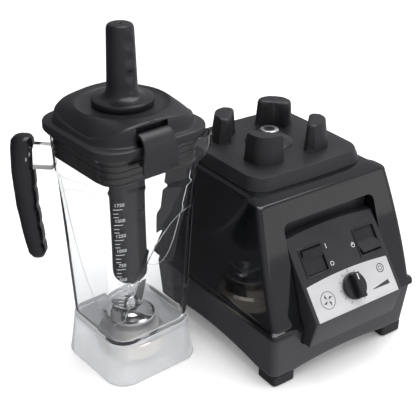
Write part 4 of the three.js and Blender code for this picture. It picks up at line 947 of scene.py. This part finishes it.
def lid_edge(half, down, corner=34.0):
    """down is 0 on the crest and 1 at the foot of the block's wall."""
    flat = rounded(half, half, corner, 0, bend=0.5)

    def at(share):
        point = flat(share)
        point.z = mix(wave_height(share) + 0.8, 278.6, down)
        return point

    return at


def lid_slope(share_out):
    """A ring between the well's rim and the crest of the wave."""
    well_rim = ring_of(47.2, 297.2)
    edge = lid_edge(56.4, 0)

    def at(share):
        inner, outer = well_rim(share), edge(share)
        point = inner.lerp(outer, share_out)
        point.z = mix(inner.z, outer.z, 0.3 * share_out + 0.7 * share_out**2)
        return point

    return at


# %% [markdown]
# The lid's rings start at the hole for the tamper, run out over the well, the slope and the flange, then down
# and up the hollow plug that goes into the jar, and end under the collar round the hole.

# %% Lid skin
def level(half, z, corner=29.0):
    return rounded(half, half, corner, z, bend=0.5)


lid_low, well_floor = 267.8, 295.0
well = [(20.3, well_floor), (20.9, well_floor), (30, well_floor), (39, 295.05), (42.4, 295.4), (44.6, 296.2),
        (46, 296.9)]
block_wall = [(57.4, 0.05), (58.1, 0.14), (58.5, 0.27), (58.8, 0.5), (59.2, 0.8)]
flange = [(59.6, 278.4, 34), (60.2, 277.6, 34), (61.2, 277.1, 33), (64.6, 276.9), (65.6, 276.3), (66, 275.2),
          (66, 269.4), (65.6, 268.3), (64.8, lid_low)]
plug = [(53, lid_low, 17), (51.3, 267, 15.8), (49.9, 235.6, 15.8), (49.2, 234.8, 15.4), (47.2, 234.8, 14),
        (46.6, 235.4, 13.8), (48.0, 289.6, 13.8), (46.6, 291, 13)]
collar = [(24.4, 291), (23.3, 290), (23.3, 284.4), (22.9, 284), (20.8, 284), (20.3, 284.5)]
lid_rings = [
    *[ring_of(*place) for place in well],
    *[lid_slope(step / 10) for step in range(11)],
    *[lid_edge(*place) for place in block_wall],
    *[level(*place) for place in flange + plug],
    *[ring_of(*place) for place in collar],
]
lid_skin = loft(lid_rings, 192, closed=True)

# %% [markdown]
# Each latch needs a pocket in the block's wall, with a round hollow behind its pin for the swing of its heel.

# %% Latch pockets
latch_along, pin_out, pin_up, pocket_half = 7.5, 56.2, 284, 18.4
for side in (1, -1):
    ends = (side * latch_along - pocket_half, side * latch_along + pocket_half)
    outside_of_wall = sorted((side * 52.4, side * 90))
    swing = moved(turned_by(bar(10.6, *ends), math.pi / 2, "Y"), 0, side * pin_out, pin_up)
    swing = combined(swing, block(-90, 90, *outside_of_wall, 270, 310), "INTERSECT")
    pocket = combined(block(*ends, *outside_of_wall, 276.95, 291), swing, "UNION")
    lid_skin = combined(lid_skin, pocket)
lid_cap = set_piece(lid_skin, "lid_cap", "lid", "lid", place=on_jar, smooth=38)

# %% [markdown]
# ## Gasket
# The gasket is a soft ring with ribs that press on the jar's wall; it shows through the clear side as dark
# bands. Rings that step in and out make the ribs.

# %% Gasket
def gasket_ring(z, rib):
    half = wall_half(z) + band_out - jar_wall - 0.55 - (0 if rib else 1.2)
    return rounded(half, half, 15.4, z, bend=0.4)


gasket_low = 237.9
gasket_rings = [gasket_ring(gasket_low + 0.74 * step, step % 9 in (1, 2)) for step in range(37)]
gasket_rings += [rounded(half, half, 15.8, z, bend=0.4) for half, z in ((51.7, 264.6), (50.4, gasket_low))]
gasket = loft(gasket_rings, 128, closed=True)
ribbed_gasket = set_piece(gasket, "ribbed_gasket", "lid", "lid_gasket", place=on_jar)

# %% [markdown]
# ## Latches
# Each latch is a curved flap on a hinge pin, wider at its lower end. Its section is one outline of short
# lines and curves, drawn about the pin and extruded; a sheet with a Solidify would lose the hooked lip.

# %% Latches
def arc_through(start, pull, end, steps=8):
    """Points after start on the curve that leaves towards pull and arrives from it."""
    return [tuple(Vector(start).lerp(pull, t).lerp(Vector(pull).lerp(end, t), t))
            for t in (step / steps for step in range(1, steps + 1))]


latch_outline = [
    (0, 3.4), (-2, 4.9), (-4, 5.2), *arc_through((-4, 5.2), (-14.2, 3.5), (-15.9, -10)),
    *arc_through((-15.9, -10), (-16.8, -22), (-15.6, -33)), (-13.4, -33.2), (-13.6, -24.5), (-7.6, -24.2),
    (-7.1, -22.8), (-7.6, -21.4), (-13.5, -20.6), *arc_through((-13.5, -20.6), (-13.4, -8), (-11.4, -3.6), 5),
    *arc_through((-11.4, -3.6), (-8, 1.6), (-4.4, 2), 5), (0, -2),
]


def latch_flap():
    bm = extruded(latch_outline, -18, 18)
    cut_across(bm, 7)
    for vert in bm.verts:
        flare = ease((-2 - vert.co.z) / 26) * 2.6
        vert.co.x *= 1 + flare / 18
    bmesh.ops.recalc_face_normals(bm, faces=bm.faces)
    soften(bm, 0.8, 60, 3, where=lambda at: abs(at.x) > 17.5)
    knuckle = turned_by(bar(3.2, -17.6, 17.6, sides=32), math.pi / 2, "Y")
    pin = turned_by(bar(1.6, -20.5, 20.5, sides=24), math.pi / 2, "Y")
    for part in (knuckle, pin):
        bm = combined(bm, part, "UNION")
    return bm


latch_flap_front = set_piece(latch_flap(), "latch_flap_front", "latch_a", "latch_front", place=on_latch_front)
latch_flap_rear = set_piece(latch_flap(), "latch_flap_rear", "latch_b", "latch_rear", place=on_latch_rear)

# %% [markdown]
# ## Tamper
# The tamper is turned, apart from three thumb dimples pressed into its handle. The dimples are eased into
# the spun skin, like the hand holds of the housing.

# %% Tamper
tamper_outline = [
    (0, 92), (5, 92.3), (9.5, 93.4), (13.2, 95.4), (16, 98.2), (18, 101.6), (18.9, 105.4), (19, 110),
    (19, 160), (19, 220), (19, 294), (19.6, 295.3), (29.4, 295.3), (30.5, 295.8), (31, 296.8), (31, 300.8),
    (30.6, 301.8), (29.6, 302.3), (26, 302.7), (22, 303.6), (19, 305), (17, 307.2), (15.8, 310), (15.3, 314),
]
tamper_outline += [(mix(15.3, 13.6, step / 30), mix(314, 367, step / 30)) for step in range(1, 31)]
tamper_outline += [(13.5, 370), (13.0, 372.4), (11.9, 374), (10.2, 374.8), (8.4, 375), (2.2, 375),
                   (1.8, 374.6), (1.8, 369), (0, 369)]
dimple_heights, dimple_radius, dimple_depth = (327, 343, 359), 5.5, 1.8
handle_radius, dimples_face = 14, math.radians(-88)


def dimple_share(across, up):
    """1 in the middle of a dimple and 0 well outside it."""
    return math.exp(-((across / dimple_radius) ** 2 + (up / dimple_radius) ** 2) ** 1.4)


def pressed_dimples(bm):
    for vert in bm.verts:
        out = math.hypot(vert.co.x, vert.co.y)
        if vert.co.z < 315 or out < 8:
            continue
        turn = (math.atan2(vert.co.y, vert.co.x) - dimples_face + math.pi) % math.tau - math.pi
        depth = sum(dimple_share(turn * handle_radius, vert.co.z - height) for height in dimple_heights)
        shrink = 1 - dimple_depth * depth / out
        vert.co.x *= shrink
        vert.co.y *= shrink
    return bm


stick = pressed_dimples(spun(tamper_outline, 96))
tamper_stick = set_piece(stick, "tamper_stick", "tamper", "tamper", place=on_jar, smooth=30)

# %% [markdown]
# ## Small turned pieces
# The cord gland at the back and the dome nut over the blades are simple enough to spin.

# %% Gland and dome nut
gland = spun([(4, 72), (7, 72), (7, 85), (9.4, 85), (10, 85.6), (9.8, 86.8), (8.7, 88), (4.9, 88), (4, 87.2)],
             48, closed=True)
turned_by(gland, -math.pi / 2, "X")
moved(gland, 55, 0, 42)
cord_bush = set_piece(gland, "cord_bush", "base", "cord_gland")

nut_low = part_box("blade_nut")[0].z * 1000
hexagon = soften(bar(8, nut_low, nut_low + 7, sides=6), 0.5, 40, 2)
dome_outline = [(0, 6), (6.9, 6), (6.9, 7.6), (6.3, 9.6), (4.8, 11.1), (2.6, 11.9), (0, 12)]
dome = spun([(radius, nut_low + up) for radius, up in dome_outline], 40)
dome_nut = combined(combined(hexagon, dome, "UNION"), bar(4.3, nut_low - 1, nut_low + 9))
acorn_nut = set_piece(dome_nut, "acorn_nut", "blades", "blade_nut", place=on_jar)

# %% [markdown]
# ## Finishes
# Every finish is built from noise in object coordinates: a little variation of colour, a little variation
# of roughness, and a bump that matches the mould's texture. Object coordinates are in metres, so a grain of
# half a millimetre needs a scale near 2000.

# %% Patterns
def link(tree, from_socket, to_socket):
    tree.links.new(from_socket, to_socket)


def textured(name, stretch=(1, 1, 1)):
    """A new material with its shader, and a place to read patterns from."""
    material = bpy.data.materials.new(name)
    material.use_nodes = True
    tree = material.node_tree
    shader = tree.nodes["Principled BSDF"]
    place = tree.nodes.new("ShaderNodeTexCoord")
    mapping = tree.nodes.new("ShaderNodeMapping")
    mapping.inputs["Scale"].default_value = stretch
    link(tree, place.outputs["Object"], mapping.inputs["Vector"])
    return material, tree, shader, mapping.outputs["Vector"]


def noise(tree, where, scale, detail=3.0, rough=0.5):
    node = tree.nodes.new("ShaderNodeTexNoise")
    node.inputs["Scale"].default_value = scale
    node.inputs["Detail"].default_value = detail
    node.inputs["Roughness"].default_value = rough
    link(tree, where, node.inputs["Vector"])
    return node.outputs["Fac"]


def ranged(tree, value, low, high, from_low=0.3, from_high=0.7):
    node = tree.nodes.new("ShaderNodeMapRange")
    node.inputs["From Min"].default_value = from_low
    node.inputs["From Max"].default_value = from_high
    node.inputs["To Min"].default_value = low
    node.inputs["To Max"].default_value = high
    link(tree, value, node.inputs["Value"])
    return node.outputs["Result"]


def blended(tree, value, dark, light, low=0.3, high=0.7):
    node = tree.nodes.new("ShaderNodeValToRGB")
    node.color_ramp.elements[0].position = low
    node.color_ramp.elements[0].color = (*dark, 1)
    node.color_ramp.elements[1].position = high
    node.color_ramp.elements[1].color = (*light, 1)
    link(tree, value, node.inputs["Fac"])
    return node.outputs["Color"]


def bumped(tree, shader, value, distance, strength=1.0):
    node = tree.nodes.new("ShaderNodeBump")
    node.inputs["Distance"].default_value = distance / 1000
    node.inputs["Strength"].default_value = strength
    link(tree, value, node.inputs["Height"])
    link(tree, node.outputs["Normal"], shader.inputs["Normal"])


# %% [markdown]
# Two makers cover almost everything: `moulded` for plastic, rubber and ink, and `metal`, which is the same
# surface with its metallic value turned up and its noise stretched along the grain.

# %% Two finish makers
def moulded(name, dark, light, rough, grain=1500.0, depth=0.03, patches=25.0, coat=0.0, stretch=(1, 1, 1),
            shine=0.5):
    """A moulded surface: slow patches of colour and roughness, and a fine grain."""
    material, tree, shader, where = textured(name, stretch)
    slow = noise(tree, where, patches, 4)
    fine = noise(tree, where, grain, 2)
    link(tree, blended(tree, slow, dark, light), shader.inputs["Base Color"])
    link(tree, ranged(tree, slow, rough[0], rough[1]), shader.inputs["Roughness"])
    bumped(tree, shader, fine, depth, 0.5)
    shader.inputs["Coat Weight"].default_value = coat
    shader.inputs["Specular IOR Level"].default_value = shine
    return material


def metal(name, dark, light, rough, stretch=(1, 1, 1), grain=900.0, depth=0.01):
    material = moulded(name, dark, light, rough, grain, depth, 40, stretch=stretch)
    material.node_tree.nodes["Principled BSDF"].inputs["Metallic"].default_value = 1.0
    return material


# %% [markdown]
# The plastics differ mostly in their gloss. The hood is polished black; skirt and console are a satin blue
# grey from a finely etched mould; pad and lid are matt; handle, knob and tamper lie between.

# %% Plastics and rubber
gloss_black = moulded("polished_black", (0.004, 0.0042, 0.005), (0.008, 0.0085, 0.0095), (0.05, 0.11),
                      grain=60, depth=0.004, patches=14, coat=0.1, shine=0.42)
satin_grey = moulded("etched_satin_grey", (0.026, 0.0255, 0.03), (0.036, 0.0355, 0.041), (0.3, 0.4),
                     grain=2600, depth=0.02, patches=18, shine=0.4)
console_grey = moulded("etched_console_grey", (0.013, 0.013, 0.016), (0.019, 0.019, 0.023), (0.26, 0.36),
                       grain=2600, depth=0.02, patches=18, shine=0.4)
matt_charcoal = moulded("matt_charcoal", (0.009, 0.0092, 0.0105), (0.014, 0.0144, 0.016), (0.38, 0.5),
                        grain=2200, depth=0.03, patches=22, shine=0.4)
lid_charcoal = moulded("soft_lid_charcoal", (0.0085, 0.0087, 0.0102), (0.0135, 0.0138, 0.0158), (0.34, 0.44),
                       grain=2200, depth=0.02, patches=20, shine=0.4)
satin_black = moulded("satin_black", (0.0055, 0.0055, 0.0075), (0.009, 0.009, 0.0115), (0.24, 0.34),
                      grain=1800, depth=0.015, patches=24, shine=0.4)
soft_black = moulded("foot_rubber", (0.009, 0.009, 0.0105), (0.017, 0.017, 0.019), (0.5, 0.65),
                     grain=1400, depth=0.05, patches=60, shine=0.35)
gasket_rubber = moulded("gasket_rubber", (0.004, 0.004, 0.005), (0.009, 0.009, 0.01), (0.3, 0.42),
                        grain=900, depth=0.01, patches=60, shine=0.4)
plain_black = moulded("hidden_black_plastic", (0.012, 0.012, 0.013), (0.022, 0.022, 0.024), (0.4, 0.55),
                      grain=1200, depth=0.03, patches=40)
signal_red = moulded("signal_red", (0.35, 0.02, 0.015), (0.42, 0.03, 0.02), (0.25, 0.35),
                     grain=1400, depth=0.015, patches=60)
dark_ink = moulded("dark_ink", (0.02, 0.02, 0.023), (0.035, 0.035, 0.04), (0.4, 0.5),
                   grain=1800, depth=0.005, patches=90)
pale_ink = moulded("pale_ink", (0.62, 0.62, 0.62), (0.72, 0.72, 0.72), (0.4, 0.5),
                   grain=1800, depth=0.005, patches=90)
scale_ink = moulded("scale_ink", (0.5, 0.51, 0.53), (0.6, 0.61, 0.63), (0.35, 0.5),
                    grain=1800, depth=0.005, patches=90)
board_green = moulded("board_green", (0.01, 0.09, 0.03), (0.02, 0.14, 0.05), (0.3, 0.45),
                      grain=700, depth=0.05, patches=220)
print("plastics and inks:", len(bpy.data.materials))

# %% [markdown]
# Metals are told apart by their grain: the dial plate is drawn along its length, turned parts carry fine
# rings, and ground blades have short scratches. Stretching the noise along one axis gives each of these.

# %% Metals
plate_silver = metal("drawn_silver", (0.47, 0.47, 0.485), (0.57, 0.57, 0.585), (0.34, 0.46),
                     stretch=(0.04, 1, 1), grain=3000, depth=0.004)
plate_silver.node_tree.nodes["Principled BSDF"].inputs["Metallic"].default_value = 0.35
turned_steel = metal("turned_steel", (0.5, 0.5, 0.51), (0.66, 0.66, 0.67), (0.2, 0.32),
                     stretch=(1, 1, 6), grain=900, depth=0.006)
ground_steel = metal("ground_steel", (0.55, 0.56, 0.57), (0.7, 0.71, 0.72), (0.16, 0.28),
                     stretch=(0.2, 2, 1), grain=1800, depth=0.006)
champagne = metal("champagne_metal", (0.7, 0.64, 0.54), (0.82, 0.77, 0.67), (0.25, 0.36),
                  stretch=(1, 1, 5), grain=900, depth=0.006)
stacked_steel = metal("stacked_steel", (0.24, 0.24, 0.25), (0.42, 0.42, 0.43), (0.35, 0.5),
                      stretch=(0.05, 0.05, 12), grain=160, depth=0.05)
wound_copper = metal("wound_copper", (0.5, 0.2, 0.09), (0.75, 0.36, 0.18), (0.25, 0.4),
                     stretch=(0.1, 0.1, 8), grain=160, depth=0.12)
bright_copper = metal("bright_copper", (0.62, 0.3, 0.17), (0.8, 0.44, 0.27), (0.2, 0.35),
                      stretch=(1, 1, 4), grain=700, depth=0.01)
pressed_brass = metal("pressed_brass", (0.6, 0.43, 0.18), (0.75, 0.58, 0.28), (0.25, 0.4),
                      stretch=(1, 1, 1), grain=900, depth=0.01)
carbon_black = moulded("pressed_carbon", (0.014, 0.014, 0.015), (0.03, 0.03, 0.032), (0.5, 0.7),
                       grain=1600, depth=0.06, patches=120)
print("with the metals:", len(bpy.data.materials))

# %% [markdown]
# ## Clear and frosted plastic
# The jar is clear plastic, so it is a transmitting shader with a trace of grey and a very slow waviness. The
# foot is the same plastic from a blasted mould: it lets light through but scatters it. It also carries a
# faint painted glow, a painted light that stands in for the light the clear jar keeps from it.

# %% Clear jar, frosted foot
clear_plastic, tree, shader, where = textured("clear_jar_plastic")
slow = noise(tree, where, 16, 2)
link(tree, blended(tree, slow, (0.925, 0.932, 0.94), (0.955, 0.96, 0.965)), shader.inputs["Base Color"])
link(tree, ranged(tree, slow, 0.0, 0.004), shader.inputs["Roughness"])
shader.inputs["Transmission Weight"].default_value = 1.0
shader.inputs["IOR"].default_value = 1.3
bumped(tree, shader, noise(tree, where, 30, 1), 0.03, 0.3)

frosted, tree, shader, where = textured("frosted_foot_plastic_painted_glow")
slow = noise(tree, where, 30, 3)
link(tree, blended(tree, slow, (0.85, 0.86, 0.88), (0.91, 0.92, 0.935)), shader.inputs["Base Color"])
link(tree, ranged(tree, slow, 0.16, 0.22), shader.inputs["Roughness"])
# Painted glow: this faint white emission lightens the foot in place of the light that the clear jar keeps
# from it.
shader.inputs["Emission Color"].default_value = (0.96, 0.97, 1.0, 1)
shader.inputs["Emission Strength"].default_value = 0.02
shader.inputs["Transmission Weight"].default_value = 0.7
shader.inputs["IOR"].default_value = 1.14
bumped(tree, shader, noise(tree, where, 1400, 2), 0.01, 0.3)


# %% [markdown]
# ## Dressing the pieces
# Pieces made here and pieces carried over from the mechanical model are dressed alike. The clear pieces are
# kept out of the reflections in the gloss black, where they would show as pale ghosts.

# %% Which piece wears which finish
def wear(material, *things):
    for thing in things:
        piece = frame["nodes"][thing] if isinstance(thing, str) else thing
        piece.data.materials.clear()
        piece.data.materials.append(material)


wear(gloss_black, upper_housing, switch_frames)
wear(satin_grey, lower_housing)
wear(console_grey, console_shell)
wear(matt_charcoal, centering_pad)
wear(lid_charcoal, lid_cap, latch_flap_front, latch_flap_rear)
wear(satin_black, grip_knob, finger_grip, tamper_stick, "power_rocker", "pulse_rocker")
wear(soft_black, cord_bush, *[node for node in frame["nodes"] if node.startswith("foot_")])
wear(gasket_rubber, ribbed_gasket, "blade_seal")
wear(plain_black, "bottom_cover", "overload_breaker", "fan_shroud", "cooling_fan", "power_switch_body",
     "pulse_switch_body")
wear(signal_red, "reset_button")
wear(dark_ink, dial_marks)
wear(pale_ink, switch_marks, pointer)
wear(scale_ink, volume_scale)
wear(board_green, "control_board")
wear(plate_silver, face_plate)
wear(turned_steel, spline_cup, "motor_shaft", "blade_shaft", "blade_bearing", "blade_bearing_housing",
     "handle_pin", "motor_bearing_top", "motor_bearing_bottom", "speed_potentiometer", "motor_bolt_left",
     "motor_bolt_right", *[node for node in frame["nodes"] if node.startswith("housing_screw")])
wear(ground_steel, acorn_nut, "lower_blade", "upper_blade")
wear(champagne, "blade_retainer_nut")
wear(stacked_steel, "motor_stator", "armature_core", "motor_bracket_top", "motor_bracket_bottom")
wear(wound_copper, "field_coil_front", "field_coil_rear")
wear(bright_copper, "commutator")
wear(pressed_brass, "brush_holder_front", "brush_holder_rear")
wear(carbon_black, "carbon_brush_front", "carbon_brush_rear")
wear(clear_plastic, clear_jar, facet_beads)
wear(frosted, frosted_foot)
for see_through in (clear_jar, facet_beads, frosted_foot):
    see_through.visible_glossy = False
print("finishes:", len(bpy.data.materials))

# %% [markdown]

# %% [markdown]
# ## Stage
# A wide white table runs into white surroundings. It glows a little, so that it ends without a visible edge.

# %% Table
floor_bm = bmesh.new()
bmesh.ops.create_grid(floor_bm, x_segments=1, y_segments=1, size=6)
floor_mesh = bpy.data.meshes.new("table_top")
floor_bm.to_mesh(floor_mesh)
floor_bm.free()
table_top = bpy.data.objects.new("table_top", floor_mesh)
bpy.context.scene.collection.objects.link(table_top)
table_top.location.z = -0.0002
table_white = moulded("table_white", (0.93, 0.93, 0.93), (0.95, 0.95, 0.95), (0.5, 0.6),
                      grain=200, depth=0.01, patches=3)
table_shader = table_white.node_tree.nodes["Principled BSDF"]
table_shader.inputs["Emission Color"].default_value = (1, 1, 1, 1)
table_shader.inputs["Emission Strength"].default_value = 0.1
wear(table_white, table_top)
table_top.visible_glossy = False

# %% [markdown]
# Gloss black shows nothing but what it reflects. A plain white room would turn it grey, and a dark one would
# dull the rest of the picture, so reflections alone see a dim room that is brighter towards the front.

# %% Surroundings
world = bpy.data.worlds.new("white_room")
bpy.context.scene.world = world
world.use_nodes = True
sky = world.node_tree
white_ground = sky.nodes["Background"]
white_ground.inputs["Color"].default_value = (1, 1, 1, 1)
white_ground.inputs["Strength"].default_value = 1.0
dim_room = sky.nodes.new("ShaderNodeBackground")
ray = sky.nodes.new("ShaderNodeLightPath")
seen = sky.nodes.new("ShaderNodeMath")
seen.operation = "MAXIMUM"
lit = sky.nodes.new("ShaderNodeMath")
lit.operation = "MAXIMUM"
choose = sky.nodes.new("ShaderNodeMixShader")
facing = sky.nodes.new("ShaderNodeTexCoord")
bright_side = sky.nodes.new("ShaderNodeVectorMath")
bright_side.operation = "DOT_PRODUCT"
bright_side.inputs[1].default_value = (0.5, -0.85, 0.1)
link(sky, facing.outputs["Generated"], bright_side.inputs[0])
turned_to_it = ranged(sky, bright_side.outputs["Value"], 0, 1, -1, 1)
room_colour = blended(sky, turned_to_it, (0.09, 0.09, 0.095), (0.78, 0.78, 0.8), 0.08, 0.7)
link(sky, room_colour, dim_room.inputs["Color"])
link(sky, ray.outputs["Is Camera Ray"], seen.inputs[0])
link(sky, ray.outputs["Is Transmission Ray"], seen.inputs[1])
link(sky, seen.outputs["Value"], lit.inputs[0])
link(sky, ray.outputs["Is Diffuse Ray"], lit.inputs[1])
link(sky, lit.outputs["Value"], choose.inputs["Fac"])
link(sky, dim_room.outputs["Background"], choose.inputs[1])
link(sky, white_ground.outputs["Background"], choose.inputs[2])
link(sky, choose.outputs["Shader"], sky.nodes["World Output"].inputs["Surface"])
bpy.context.scene.view_settings.view_transform = "Standard"


# %% [markdown]
# ## Lights
# A large soft box above gives the soft shadow under the base, and a small one in front lifts the controls.

# %% Lights
def soft_box(name, where, towards, width, height, power):
    light = bpy.data.lights.new(name, "AREA")
    light.shape = "RECTANGLE"
    light.size = width
    light.size_y = height
    light.energy = power
    lamp = bpy.data.objects.new(name, light)
    bpy.context.scene.collection.objects.link(lamp)
    lamp.location = where
    lamp.rotation_mode = "QUATERNION"
    lamp.rotation_quaternion = (Vector(towards) - Vector(where)).to_track_quat("-Z", "Y")
    return lamp


soft_box("key_from_above", (0.25, -0.15, 1.5), (0, 0, 0.1), 1.5, 1.1, 20)
soft_box("fill_from_front", (0.9, -1.5, 0.5), (0, 0, 0.12), 1.0, 0.6, 1.5)

# %% [markdown]
# ## Camera
# The camera looks down at 28 degrees from the front left, with a long lens, so the verticals lean only a
# little. Its place is given from the motor's axis, and its turn by the way back to it and the way up.

# %% Camera
camera_data = bpy.data.cameras.new("camera")
camera = bpy.data.objects.new("camera", camera_data)
bpy.context.scene.collection.objects.link(camera)
bpy.context.scene.camera = camera
camera_data.sensor_width = 36
camera_data.lens = 78.535
camera_data.dof.use_dof = False
camera_place = on_the_table("motor_shaft") + Vector((-0.60095, -0.72093, 0.62656))
camera_back = Vector((-0.51626, -0.71410, 0.47279)).normalized()
camera_up = Vector((0.26837, 0.38935, 0.88112))
camera_right = camera_up.cross(camera_back).normalized()
camera_up = camera_back.cross(camera_right)
camera_turn = Matrix((camera_right, camera_up, camera_back)).transposed().to_4x4()
camera.matrix_world = Matrix.Translation(camera_place) @ camera_turn
camera_data.clip_start = 0.05
print("camera at", tuple(round(v, 3) for v in camera.matrix_world.translation))
